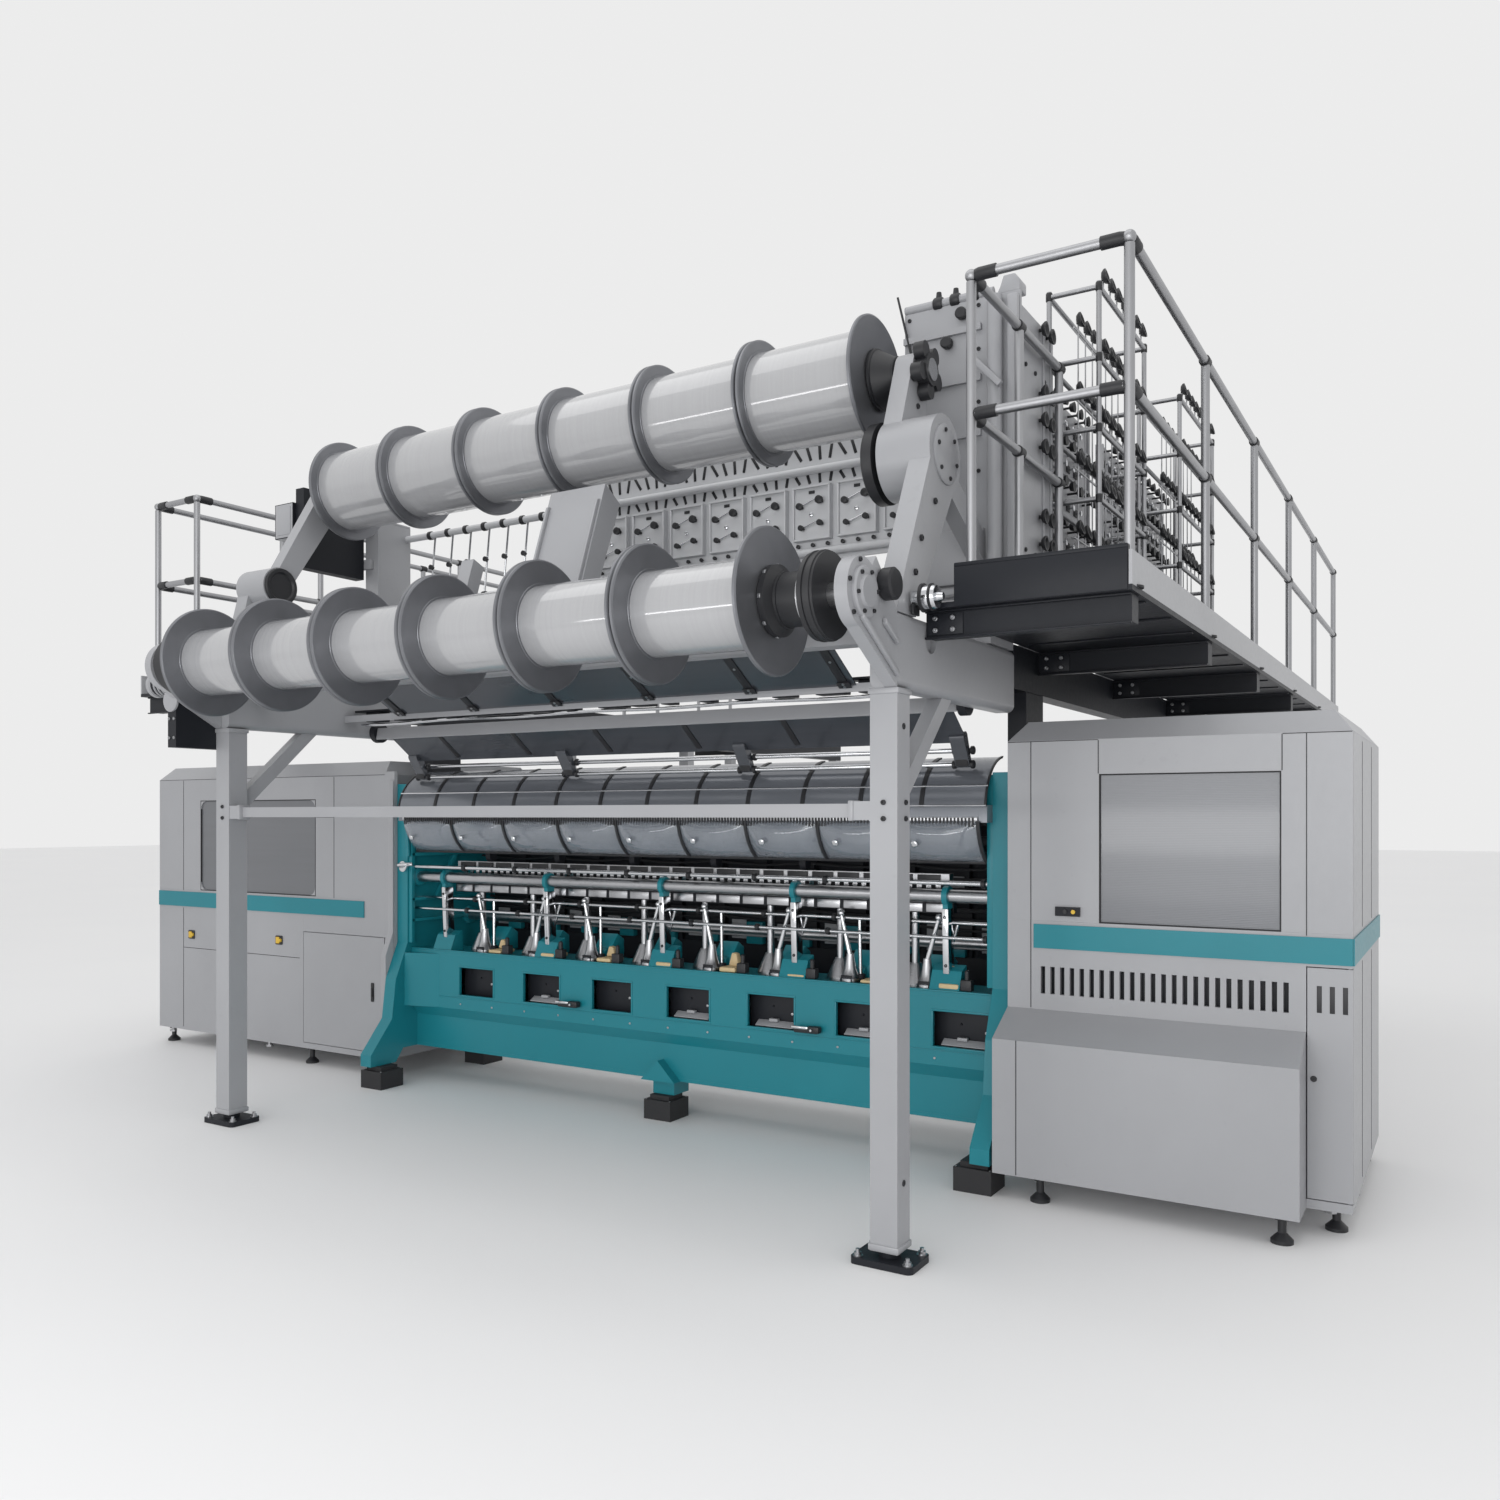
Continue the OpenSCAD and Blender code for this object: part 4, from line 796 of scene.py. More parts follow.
@dataclass
class WarpBeams:
    """Details of the two sectional warp beams, their hubs and their bearings."""
    low: Span = LOWER_AXIS
    high: Span = UPPER_AXIS
    pitch: float = 0.550
    count: int = 6
    flange_r: float = 0.2665

    def build(self) -> None:
        """Builds the details of both beams."""
        self.rims("lower_beam", self.low, 0.165, LOWER_FLANGE)
        self.rims("upper_beam", self.high, 0.215, UPPER_FLANGE)
        self.lower_hub()
        self.upper_hub()
        self.bearings()
        self.stub_roller()

    def rims(self, body: str, at: Span, yarn_r: float, finish: Finish) -> None:
        """Adds rolled rims and inner collars on every flange.

        Args:
            body: The beam's body.
            at: Y and Z of its axis.
            yarn_r: Radius of the yarn on it.
            finish: The flange metal.
        """
        half = self.count * self.pitch / 2
        rims, collars = kit = Kit(body, **{f"{body}_rims": finish, f"{body}_collars": finish})
        r = self.flange_r
        for i in range(self.count):
            for side in (-1, 1):
                edge = -half + (i + 0.5) * self.pitch + side * (self.pitch / 2 - 0.004)
                outer = (edge, at[0], at[1])
                inward = (-side, 0, 0)
                rims.turned([(-0.0008, r - 0.012), (-0.0016, r - 0.004), (0.002, r + 0.0022),
                             (0.012, r + 0.0022), (0.0156, r - 0.004), (0.0148, r - 0.012)], outer, inward,
                            96)
                collars.turned([(0.0142, yarn_r + 0.010), (0.0172, yarn_r + 0.008), (0.0172, yarn_r - 0.004)],
                               outer, inward, 64)
        kit.show()

    def lower_hub(self) -> None:
        """Adds rings and bolts on the drive hub at the right end of the lower beam."""
        y, z = self.low
        x = self.count * self.pitch / 2
        rings, bolts = kit = Kit("lower_beam", lower_hub_rings=BLACK, lower_hub_bolts=STEEL)
        for at, r, wide in ((0.046, 0.102, 0.014), (0.150, 0.118, 0.020), (0.186, 0.160, 0.008),
                            (0.208, 0.160, 0.015)):
            rings.collar((x + at, y, z), RIGHT, r, wide, (0.003, 0.006), 64)
        bolts.collar((x + 0.136, y, z), RIGHT, 0.1035, 0.012, (0.002, 0.0075), 64)
        bolts.screw_ring((x + 0.005, y, z), RIGHT, 0.125, 8, 0.010, 0.010)
        kit.show()

    def upper_hub(self) -> None:
        """Adds rings and bolts on the cone of the upper beam's hub."""
        y, z = self.high
        x = self.count * self.pitch / 2
        rings, bolts = kit = Kit("upper_beam", upper_hub_rings=BLACK, upper_hub_bolts=STEEL)
        rings.turned([(0.0, 0.124), (0.003, 0.128), (0.012, 0.128), (0.016, 0.121)], (x, y, z), RIGHT, 64)
        rings.collar((x + 0.086, y, z), RIGHT, 0.08, 0.018, (0.004, 0.006), 48)
        bolts.screw_ring((x + 0.014, y, z), RIGHT, 0.108, 4, 0.009, 0.010, 0.6)
        kit.show()

    def bearings(self) -> None:
        """Adds the cover, ribs and screws on the right bearing casting of the lower beam."""
        y, z = self.low
        covers, screws, ribs = kit = Kit(bearing_covers=LIGHT, bearing_screws=BLACK, bearing_ribs=LIGHT)
        face, ring = 2.001, 0.112
        covers.turned([(0.0, 0.092), (0.010, 0.092), (0.016, 0.086), (0.016, 0.060), (0.026, 0.054),
                       (0.026, 0.0)], (face, y, z), RIGHT, 48)
        screws.screw_ring((face + 0.016, y, z), RIGHT, 0.076, 6, 0.008, 0.008, 0.4)
        for angle in map(math.radians, (105, 165, 225, 285)):
            screws.screw((face, y + ring * math.cos(angle), z + ring * math.sin(angle)), RIGHT, 0.009, 0.008)
        for a, b in (((y - 0.030, z - 0.095), (y + 0.262, z - 0.265)),
                     ((y + 0.150, z - 0.090), (y + 0.262, z - 0.150))):
            ribs.prism(Axis.X, face, face + 0.018, [a, b, (b[0], b[1] + 0.022), (a[0], a[1] + 0.022)], 0.004)
        kit.show()

    def stub_roller(self) -> None:
        """Adds the polished stub roller beside the right bearing."""
        roller, ring = kit = Kit(stub_roller=CHROME, stub_roller_rings=BLACK)
        at = (2.0012, -1.215, 2.462)
        roller.turned([(0.0, 0.030), (0.030, 0.030), (0.032, 0.046), (0.090, 0.046), (0.096, 0.042),
                       (0.096, 0.018), (0.120, 0.014), (0.126, 0.0)], at, RIGHT, 32)
        ring.turned([(0.034, 0.047), (0.036, 0.054), (0.046, 0.054), (0.048, 0.047)], at, RIGHT, 32)
        ring.turned([(0.070, 0.0465), (0.072, 0.051), (0.080, 0.051), (0.082, 0.0465)], at, RIGHT, 32)
        ring.box((2.0012, -1.245, 2.400), (2.014, -1.185, 2.440))
        kit.show()


@dataclass
class Girder:
    """Details on the girder and the machine's pads."""
    first_x: float = -1.355
    pitch: float = 0.515
    windows: int = 7
    window: Span = (0.280, 0.172)
    window_z: float = 0.645
    front: float = -0.070
    half: float = 1.9046
    foot: float = 0.107
    pads: tuple[Span, ...] = (
        (0.0, 0.0), (1.9135, -0.300), (-1.9135, -0.300), (1.9135, 0.570), (-1.9135, 0.570))

    def build(self) -> None:
        """Builds the window frames, trays, handles, screws and pad trim."""
        self.window_frames()
        self.handles()
        self.seams()
        self.pad_trim()

    def window_frames(self) -> None:
        """Adds a rolled edge, a dark backing that paints the shade inside the girder, and a pale tray in
        every window.
        """
        rims, shade_backs, trays = kit = Kit(window_rims=TEAL, window_shade_backs=DARK, window_trays=LIGHT)
        y, lap = self.front, 0.003
        w, h = self.window[0] / 2, self.window[1] / 2
        low, high = self.window_z - h, self.window_z + h
        for i in range(self.windows):
            x = self.first_x + i * self.pitch
            rims.frame((x - w + lap, x + w - lap), (low + lap, high - lap), (y - 0.003, y + 0.018), 0.010,
                       0.0015)
            # A dark sheet behind each window: painted shade standing in for the shaded inside of the girder.
            shade_backs.box((x - w - 0.02, y + 0.066, low - 0.02), (x + w + 0.02, y + 0.070, high + 0.02), 0.001)
            shade_backs.ball((x - 0.02, y + 0.064, self.window_z + 0.02), 0.006)
            if i not in (0, 2):
                trays.prism(Axis.X, x - 0.105, x + 0.115,
                            [(y + 0.022, low + 0.006), (y + 0.060, low + 0.012), (y + 0.060, low + 0.034),
                             (y + 0.022, low + 0.010)], 0.001)
                trays.box((x - 0.030, y + 0.034, low + 0.030), (x + 0.020, y + 0.060, low + 0.046))
        kit.show()

    def handles(self) -> None:
        """Adds the two latch handles under the windows."""
        bodies, grips = kit = Kit(latch_bodies=BLACK, latch_grips=CHROME)
        y, z = self.front, self.window_z - 0.064
        for i in (1, 4):
            x = self.first_x + i * self.pitch + 0.185
            bodies.box((x - 0.030, y - 0.040, z - 0.018), (x + 0.105, y, z + 0.012), 0.006)
            bodies.box((x + 0.050, y - 0.052, z - 0.014), (x + 0.120, y - 0.012, z + 0.020), 0.008)
            grips.box((x - 0.036, y - 0.054, z + 0.002), (x + 0.060, y - 0.030, z + 0.018), 0.006)
            grips.rod((x + 0.085, y - 0.070, z + 0.004), (x + 0.085, y - 0.040, z + 0.004), 0.006, sides=12)
        kit.show()

    def seams(self) -> None:
        """Adds the weld line, the top lip and the screws along the girder."""
        lip, screws = kit = Kit(girder_lip=TEAL, girder_screws=STEEL)
        lip.box((-self.half, self.front - 0.006, 0.8203), (self.half, self.front + 0.022, 0.8290))
        lip.box((-1.660, self.front - 0.003, 0.541), (self.half, self.front, 0.545), 0.001)
        for i in range(self.windows * 2):
            x = self.first_x - self.pitch / 4 + i * self.pitch / 2
            screws.screw((x, self.front, 0.505), FRONT, 0.006, 0.004)
            if i % 2:
                screws.screw((x, self.front, self.window_z), FRONT, 0.007, 0.004)
        kit.show()

    def pad_trim(self) -> None:
        """Adds the neck and the screws on every machine pad."""
        necks, screws = kit = Kit(pad_necks=RUBBER, pad_screws=STEEL)
        for x, y in self.pads:
            necks.turned([(0.0, 0.066), (0.008, 0.066), (0.012, 0.058), (0.022, 0.058)], (x, y, self.foot),
                         UP, 32)
            for a, b in ((1, 1), (1, -1), (-1, 1), (-1, -1)):
                screws.screw((x + a * 0.078, y + b * 0.078, self.foot - 0.001), UP, 0.005, 0.003)
        kit.show()


@dataclass
class KnittingZone:
    """Levers, blocks, bars, needles and pipes between the side frames."""
    top: float = 0.8293
    pitch: float = 0.4125
    rear: float = 0.664
    wall: float = 1.905

    def build(self) -> None:
        """Builds the knitting zone's details."""
        self.back_wall()
        self.columns()
        self.levers()
        self.blocks()
        self.bars()
        self.needles()
        self.rocker_trim()
        self.frame_walls()

    def back_wall(self) -> None:
        """Adds boxes, plates, drives, ducts and pipes in front of the rear guard."""
        dark, pale, blue, pipes = kit = Kit(back_boxes=DARK, back_plates=LIGHT, back_drives=TEAL,
                                            back_pipes=BLACK)
        dice = random.Random(7)
        y = self.rear
        for i in range(12):
            x = -1.86 + i * 0.310
            dark.box((x, y - 0.030, 0.90), (x + 0.285, y - 0.001, 1.14), 0.006)
            dark.box((x + 0.010, y - 0.045, 1.155), (x + 0.275, y - 0.001, 1.40), 0.006)
            pale.box((x + 0.030, y - 0.040, 0.93), (x + 0.130, y - 0.030, 1.02 + 0.05 * dice.random()))
            if i % 3 == 1:
                pale.box((x + 0.170, y - 0.060, 1.19), (x + 0.250, y - 0.045, 1.33), 0.004)
            blue.box((x + 0.150, y - 0.075, 0.905), (x + 0.262, y - 0.031, 0.985 + 0.06 * dice.random()),
                     0.008)
        for k in range(7):
            z = 1.06 + 0.055 * k
            sag = 0.012 + 0.010 * dice.random()
            path = [(-1.85 + 3.70 * t / 36, 0.590 - 0.016 * k, z - sag * math.sin(math.pi * (t % 6) / 6))
                    for t in range(37)]
            pipes.tube(path, 0.007 + 0.002 * (k % 3), 8)
        for z in (1.42, 1.50, 1.60, 1.72):
            dark.box((-1.88, 0.47, z), (1.88, 0.53, z + 0.045), 0.004)
        kit.show()

    def columns(self) -> None:
        """Adds polished sleeves and clamp screws on the roller stands' columns."""
        sleeves, screws = kit = Kit(stand_sleeves=CHROME, stand_screws=BLACK)
        for x in (2 * k * self.pitch for k in range(-2, 3)):
            sleeves.prism(Axis.X, x - 0.0165, x + 0.0165,
                          [(-0.053, 1.212), (0.018, 1.212), (0.032, 0.900), (-0.037, 0.900)], 0.006)
            for z in (0.94, 1.17):
                screws.screw((x, -0.047 + (1.17 - z) * 0.05, z), FRONT, 0.008, 0.008)
        kit.show()

    def levers(self) -> None:
        """Adds pairs of polished levers with flared feet along the girder's top."""
        arms, feet, pins = kit = Kit(lever_arms=CHROME, lever_feet=STEEL, lever_pins=DARK)
        top = self.top
        for i in range(8):
            x = (i - 3.5) * self.pitch + 0.095
            lean = 0.060 if i % 2 else -0.050
            feet.turned([(0.0, 0.052), (0.012, 0.052), (0.020, 0.044), (0.060, 0.030), (0.120, 0.020),
                         (0.135, 0.019)], (x, 0.0, top), UP, 24)
            arms.rod((x, 0.0, top + 0.12), (x + lean, 0.0, top + 0.330), 0.013, 0.010, 14)
            arms.rod((x + 0.040, 0.035, top), (x + 0.080 + lean, 0.045, top + 0.300), 0.010, 0.009, 12)
            arms.ball((x + lean, 0.0, top + 0.335), 0.017)
            pins.turned([(0.0, 0.024), (0.030, 0.024), (0.034, 0.018)], (x + 0.040, 0.035, top), UP, 16)
            pins.box((x - 0.030, -0.046, top), (x + 0.030, -0.040, top + 0.030), 0.002)
        kit.show()

    def blocks(self) -> None:
        """Adds hooded blue-green blocks, tan pads and small dark tools on the girder's top."""
        hoods, pads, dark = kit = Kit(lever_hoods=TEAL, tan_pads=CREAM, girder_tools=BLACK)
        dice = random.Random(3)
        y0, top = 0.095, self.top
        for i in range(-3, 5):
            x = i * self.pitch - 0.100
            hoods.prism(Axis.X, x - 0.060, x + 0.060,
                        [(y0, top), (y0 + 0.120, top), (y0 + 0.120, top + 0.105), (y0 + 0.060, top + 0.140),
                         (y0, top + 0.070)], 0.006)
            hoods.prism(Axis.X, x - 0.035, x + 0.035,
                        [(y0 - 0.055, top), (y0 - 0.002, top), (y0 - 0.002, top + 0.062),
                         (y0 - 0.030, top + 0.050)], 0.004)
            tilt = dice.uniform(-0.02, 0.03)
            pads.box((x + 0.070, -0.060, top), (x + 0.170, 0.070, top + 0.022 + tilt * 0.3), 0.008)
            pads.prism(Axis.Y, 0.010, 0.050,
                       [(x + 0.085, top + 0.024), (x + 0.150, top + 0.024), (x + 0.135, top + 0.080 + tilt),
                        (x + 0.105, top + 0.085 + tilt)], 0.008)
            dark.box((x + 0.180, -0.062, top), (x + 0.235, -0.020, top + 0.052), 0.005)
            dark.turned([(0.0, 0.012), (0.040, 0.012), (0.046, 0.006)], (x + 0.208, -0.041, top + 0.052), UP,
                        12)
        kit.show()

    def bars(self) -> None:
        """Adds the take-down guide rods and their clamps in front of the roller."""
        rods, clamps = kit = Kit(guide_rods=CHROME, guide_rod_clamps=BLACK)
        for y, z, r in ((-0.075, 1.335, 0.011), (0.020, 1.140, 0.009), (-0.050, 1.075, 0.008)):
            rods.rod((-1.904, y, z), (1.904, y, z), r, sides=14)
            for i in range(-4, 5):
                clamps.collar((i * self.pitch + 0.19, y, z), RIGHT, r + 0.010, 0.024, (0.004, 0.005), 16)
        kit.show()

    def needles(self) -> None:
        """Adds the rows of needles and guides on the needle bar and the guide bar."""
        leads, needles = kit = Kit("needle_bar", needle_leads=STEEL, needles=CHROME)
        needles.row(66, (0.050, 0, 0), (-1.64, 0.072, 1.2303), (-1.61, 0.076, 1.2720))
        leads.row(22, (0.150, 0, 0), (-1.64, 0.054, 1.184), (-1.51, 0.058, 1.226), 0.002)
        kit.show()
        guides, leads = kit = Kit("guide_bar", guide_needles=CHROME, guide_leads=BLACK)
        guides.row(64, (0.050, 0, 0), (-1.60, 0.078, 1.2900), (-1.574, 0.082, 1.3237))
        leads.row(22, (0.146, 0, 0), (-1.60, 0.048, 1.328), (-1.48, 0.054, 1.366), 0.002)
        kit.show()

    def rocker_trim(self) -> None:
        """Adds clamps and screws on the rocker's shaft."""
        clamps, bolts = kit = Kit("guide_rocker", rocker_clamps=STEEL, rocker_bolts=STEEL)
        for i in range(6):
            x = (i - 2.5) * 0.550
            for side in (-1, 1):
                clamps.collar((x + side * 0.018, 0.080, 1.760), (side, 0, 0), 0.05, 0.026, (0.004, 0.004), 24)
            bolts.screw_ring((x + 0.0185, 0.080, 1.560), RIGHT, 0.020, 3, 0.006, 0.005)
        kit.show()

    def frame_walls(self) -> None:
        """Adds ribs and bosses on the side frames' inner walls, and the left one's hose and handle."""
        ribs, bosses, hose, metal = kit = Kit(frame_ribs=TEAL, frame_bosses=TEAL, frame_hose=TEAL,
                                              frame_handle=CHROME)
        for side in (-1, 1):
            wall = side * self.wall
            low, high = sorted((wall, wall - side * 0.030))
            for z in (0.99, 1.12, 1.40, 1.56):
                ribs.box((low, -0.095, z), (high, 0.600, z + 0.020))
            ribs.prism(Axis.X, low, high, [(0.100, 1.12), (0.140, 1.12), (0.300, 1.40), (0.260, 1.40)], 0.003)
            ribs.box((low, -0.098, 0.86), (high, -0.070, 1.84))
            for y, z, r in ((0.080, 1.760, 0.062), (-0.020, 1.270, 0.058), (0.420, 1.000, 0.058)):
                bosses.turned([(0.0, r), (0.020, r), (0.026, r - 0.006), (0.026, r - 0.020)], (wall, y, z),
                              (-side, 0, 0), 32)
        hose.tube([(-1.892, -0.112, 1.40), (-1.892, -0.118, 1.50), (-1.890, -0.118, 1.62),
                   (-1.894, -0.112, 1.74)], 0.014, 12)
        metal.turned([(0.0, 0.020), (0.110, 0.020), (0.116, 0.012)], (-1.930, -0.128, 1.62), UP, 20)
        metal.turned([(0.0, 0.034), (0.020, 0.034), (0.024, 0.028)], (-1.930, -0.106, 1.335), FRONT, 24)
        metal.tube([(-1.930, -0.128, 1.335), (-1.905, -0.175, 1.345), (-1.870, -0.180, 1.350),
                    (-1.815, -0.150, 1.352)], 0.012, 12)
        kit.show()


@dataclass
class Shields:
    """Straps, strips, rails, ribs, combs and domes on the dust shields and covers."""
    edge: Span = (-0.586, 2.2163)
    hinge: Span = (-0.360, 2.150)
    cover: Span = (0.085, 1.660)
    cover_r: float = 0.270
    cover_half: float = 1.9047
    cover_count: int = 12
    dome_half: float = 1.865
    dome_count: int = 9
    sheet_half: float = 1.888
    rail_stops: tuple[float, ...] = (-1.765, -0.588, 0.588, 1.765)
    straps: tuple[float, ...] = (-1.400, -0.835, -0.250, 0.335, 0.920, 1.410)

    def build(self) -> None:
        """Builds the shields' details."""
        self.strap_rows()
        self.strips()
        self.slot_parts()
        self.rails()
        self.cover_ribs()
        self.combs()
        self.domes()

    @staticmethod
    def sloped(foot: Span, head: Span) -> Matrix:
        """The frame of a sloping sheet: X along the machine, Y up the slope, Z out of its lower face.

        Args:
            foot: Y and Z where the local origin goes.
            head: Y and Z that the local Y axis points to.

        Returns:
            The matrix from the sheet to the machine.
        """
        up = Vector((0, head[0] - foot[0], head[1] - foot[1])).normalized()
        out = Vector(RIGHT).cross(up)
        out = out if out.y < 0 else -out
        turn = Matrix((Vector(RIGHT), up, out)).transposed().to_4x4()
        return Matrix.Translation((0, *foot)) @ turn

    def strap_rows(self) -> None:
        """Adds black straps with buckles and screws across both sheets."""
        upper, lower, studs, shield_studs = Form(), Form(), Form(), Form()
        top = self.sloped(self.edge, (self.edge[0] - 0.434, self.edge[1] + 0.272))
        front = self.sloped((-0.150, 1.994), self.hinge)
        top_out, front_out = (sheet.to_3x3() @ Vector(UP) for sheet in (top, front))
        for x in self.straps:
            upper.box((x - 0.022, 0.010, 0.0031), (x + 0.022, 0.470, 0.0085), 0.002, top)
            upper.box((x - 0.032, 0.020, 0.0085), (x + 0.032, 0.060, 0.0150), 0.003, top)
            lower.box((x - 0.016, 0.020, 0.0031), (x + 0.016, 0.235, 0.0075), 0.0015, front)
            for s in (0.030, 0.050, 0.200, 0.360):
                studs.turned([(0.0, 0.007), (0.003, 0.006)],
                             top @ Vector((x, s, 0.0085 if s > 0.1 else 0.015)), top_out, 10)
        for i in range(34):
            shield_studs.turned([(0.0, 0.006), (0.003, 0.004)],
                                front @ Vector((-1.74 + i * 0.1055, 0.225, 0.0031)), front_out, 8)
        upper.show("upper_straps", BLACK)
        lower.show("lower_straps", BLACK, "front_shield")
        studs.show("upper_strap_studs", STEEL)
        shield_studs.show("front_shield_studs", STEEL, "front_shield")

    def strips(self) -> None:
        """Adds the pale strips along the fixed sheet's edge and in front of the hinge."""
        y, z = self.edge
        pale = Form()
        pale.box((-self.sheet_half, y - 0.0200, z - 0.018), (self.sheet_half, y - 0.0172, z + 0.020), 0.001)
        pale.prism(Axis.X, -1.848, 1.848,
                   [(-0.405, 2.112), (-0.398, 2.108), (-0.385, 2.172), (-0.391, 2.178)], 0.001)
        pale.show("shield_strips", LIGHT)

    def slot_parts(self) -> None:
        """Adds the boxes, plates and pipes seen in the slot between the sheets."""
        dark, pale, pipes = kit = Kit(slot_boxes=DARK, slot_plates=LIGHT, slot_pipes=CHROME)
        dice = random.Random(11)
        for i in range(17):
            x = -1.80 + i * 0.215 + dice.uniform(-0.02, 0.02)
            width = dice.uniform(0.06, 0.16)
            dark.box((x, -0.520, 2.204), (x + width, -0.440, 2.262), 0.004)
            dark.box((x + width * 0.2, -0.540, 2.215), (x + width * 0.4, -0.520, 2.245))
            if i % 3:
                pale.box((x + width * 0.3, -0.5235, 2.216), (x + width * 0.9, -0.520, 2.246), 0.001)
        dark.box((-self.sheet_half, -0.530, 2.262), (self.sheet_half, -0.430, 2.274))
        dark.box((-self.sheet_half, -0.568, 2.220), (self.sheet_half, -0.530, 2.226), 0.001)
        for k, y in enumerate((-0.500, -0.470)):
            path = [(-1.86 + 3.72 * t / 24, y, 2.192 - 0.004 * math.sin(t)) for t in range(25)]
            pipes.tube(path, 0.006 + 0.002 * k, 8)
        kit.show()

    def rails(self) -> None:
        """Adds bright sleeves, clamps and end caps on the front shield's rails."""
        y = self.hinge[0] + 0.255
        sleeves, clamps = kit = Kit("front_shield", shield_rail_sleeves=CHROME, shield_rail_clamps=BLACK)
        for z in (self.hinge[1] - 0.196, self.hinge[1] - 0.261):
            sleeves.collar((-1.799, y, z), RIGHT, 0.0122, 3.598, (0.002, 0.001), 20)
            for x in self.rail_stops:
                for side in (-1, 1):
                    clamps.collar((x + side * 0.036, y, z), (side, 0, 0), 0.02, 0.017, (0.003, 0.003), 20)
        for x in self.rail_stops:
            clamps.prism(Axis.X, x - 0.030, x + 0.030,
                         [(y - 0.020, 1.880), (y - 0.013, 1.880), (y - 0.050, 2.010), (y - 0.062, 2.004)],
                         0.002)
        kit.show()

    def arc(self, radius: float, start: float, end: float, steps: int = 14) -> list[Span]:
        """Points on the covers' curve.

        Args:
            radius: Radius about the covers' axis.
            start: First angle in degrees.
            end: Last angle in degrees.
            steps: Number of steps between them.

        Returns:
            Y and Z of every point.
        """
        angles = [math.radians(start + (end - start) * i / steps) for i in range(steps + 1)]
        return [(self.cover[0] + radius * math.cos(a), self.cover[1] + radius * math.sin(a)) for a in angles]

    def cover_ribs(self) -> None:
        """Adds black ribs over the joints of the covers, and a bright line along them."""
        ribs, line = kit = Kit(cover_ribs=BLACK, cover_lines=CHROME)
        half = self.cover_half
        pitch = 2 * half / self.cover_count
        band = self.arc(self.cover_r + 0.0045, 99,
                        173) + list(reversed(self.arc(self.cover_r + 0.0002, 99, 173)))
        for i in range(self.cover_count + 1):
            x = -half + i * pitch
            ribs.prism(Axis.X, max(x - 0.011, 0.0001 - half), min(x + 0.011, half - 0.0001), band)
        for lift, angle, radius in ((0.0045, 152, 0.0040), (0.003, 172, 0.0035)):
            at = self.arc(self.cover_r + lift, angle, angle + 1, 1)[0]
            line.rod((-1.903, *at), (1.903, *at), radius, sides=10)
        kit.show()

    def combs(self) -> None:
        """Adds the dark comb of fine teeth under the covers."""
        teeth, back = kit = Kit(comb_teeth=BLACK, comb_back=STEEL)
        y, z = -0.190, 1.630
        teeth.row(210, (0.0176, 0, 0), (-1.84, y - 0.004, z - 0.030), (-1.832, y + 0.002, z + 0.012))
        back.box((-1.862, y + 0.002, z - 0.004), (1.862, y + 0.009, z + 0.014), 0.002)
        kit.show()

    def domes(self) -> None:
        """Adds the clear domes over the clear shields, with their dark edges and knobs."""
        domes, edges, knobs = kit = Kit(clear_domes=CLEAR, dome_edges=BLACK, dome_knobs=CHROME)
        pitch = 2 * self.dome_half / self.dome_count
        across, down = 12, 10
        for i in range(self.dome_count):
            x0 = -self.dome_half + i * pitch + 0.012
            x1 = x0 + pitch - 0.024
            rings = []
            for k in range(down + 1):
                v = k / down
                angle = math.radians(187 + 48 * v)
                outer, inner = [], []
                for j in range(across + 1):
                    u = j / across
                    swell = 0.050 * (math.sin(math.pi * u) * math.sin(math.pi * min(1.0, v * 1.05))) ** 0.6
                    for row, lift in ((outer, 0.0030), (inner, 0.0006)):
                        r = self.cover_r + lift + swell
                        row.append((x0 + (x1 - x0) * u, self.cover[0] + r * math.cos(angle),
                                    self.cover[1] + r * math.sin(angle)))
                rings.append(outer + inner[::-1])
            domes.skin(rings)
            band = self.arc(self.cover_r + 0.0085, 187,
                            236) + list(reversed(self.arc(self.cover_r + 0.0006, 187, 236)))
            edges.prism(Axis.X, x1 + 0.004, x1 + 0.020, band)
            at = self.arc(self.cover_r + 0.046, 205, 206, 1)[0]
            knobs.turned([(0.0, 0.010), (0.008, 0.010), (0.012, 0.016), (0.022, 0.016), (0.026, 0.010)],
                         ((x0 + x1) / 2 - 0.09, *at), (0, -1, -0.4), 16)
        foot = self.arc(self.cover_r + 0.003, 236, 237, 1)[0]
        edges.rod((-1.862, *foot), (1.862, *foot), 0.009, sides=12)
        kit.show()


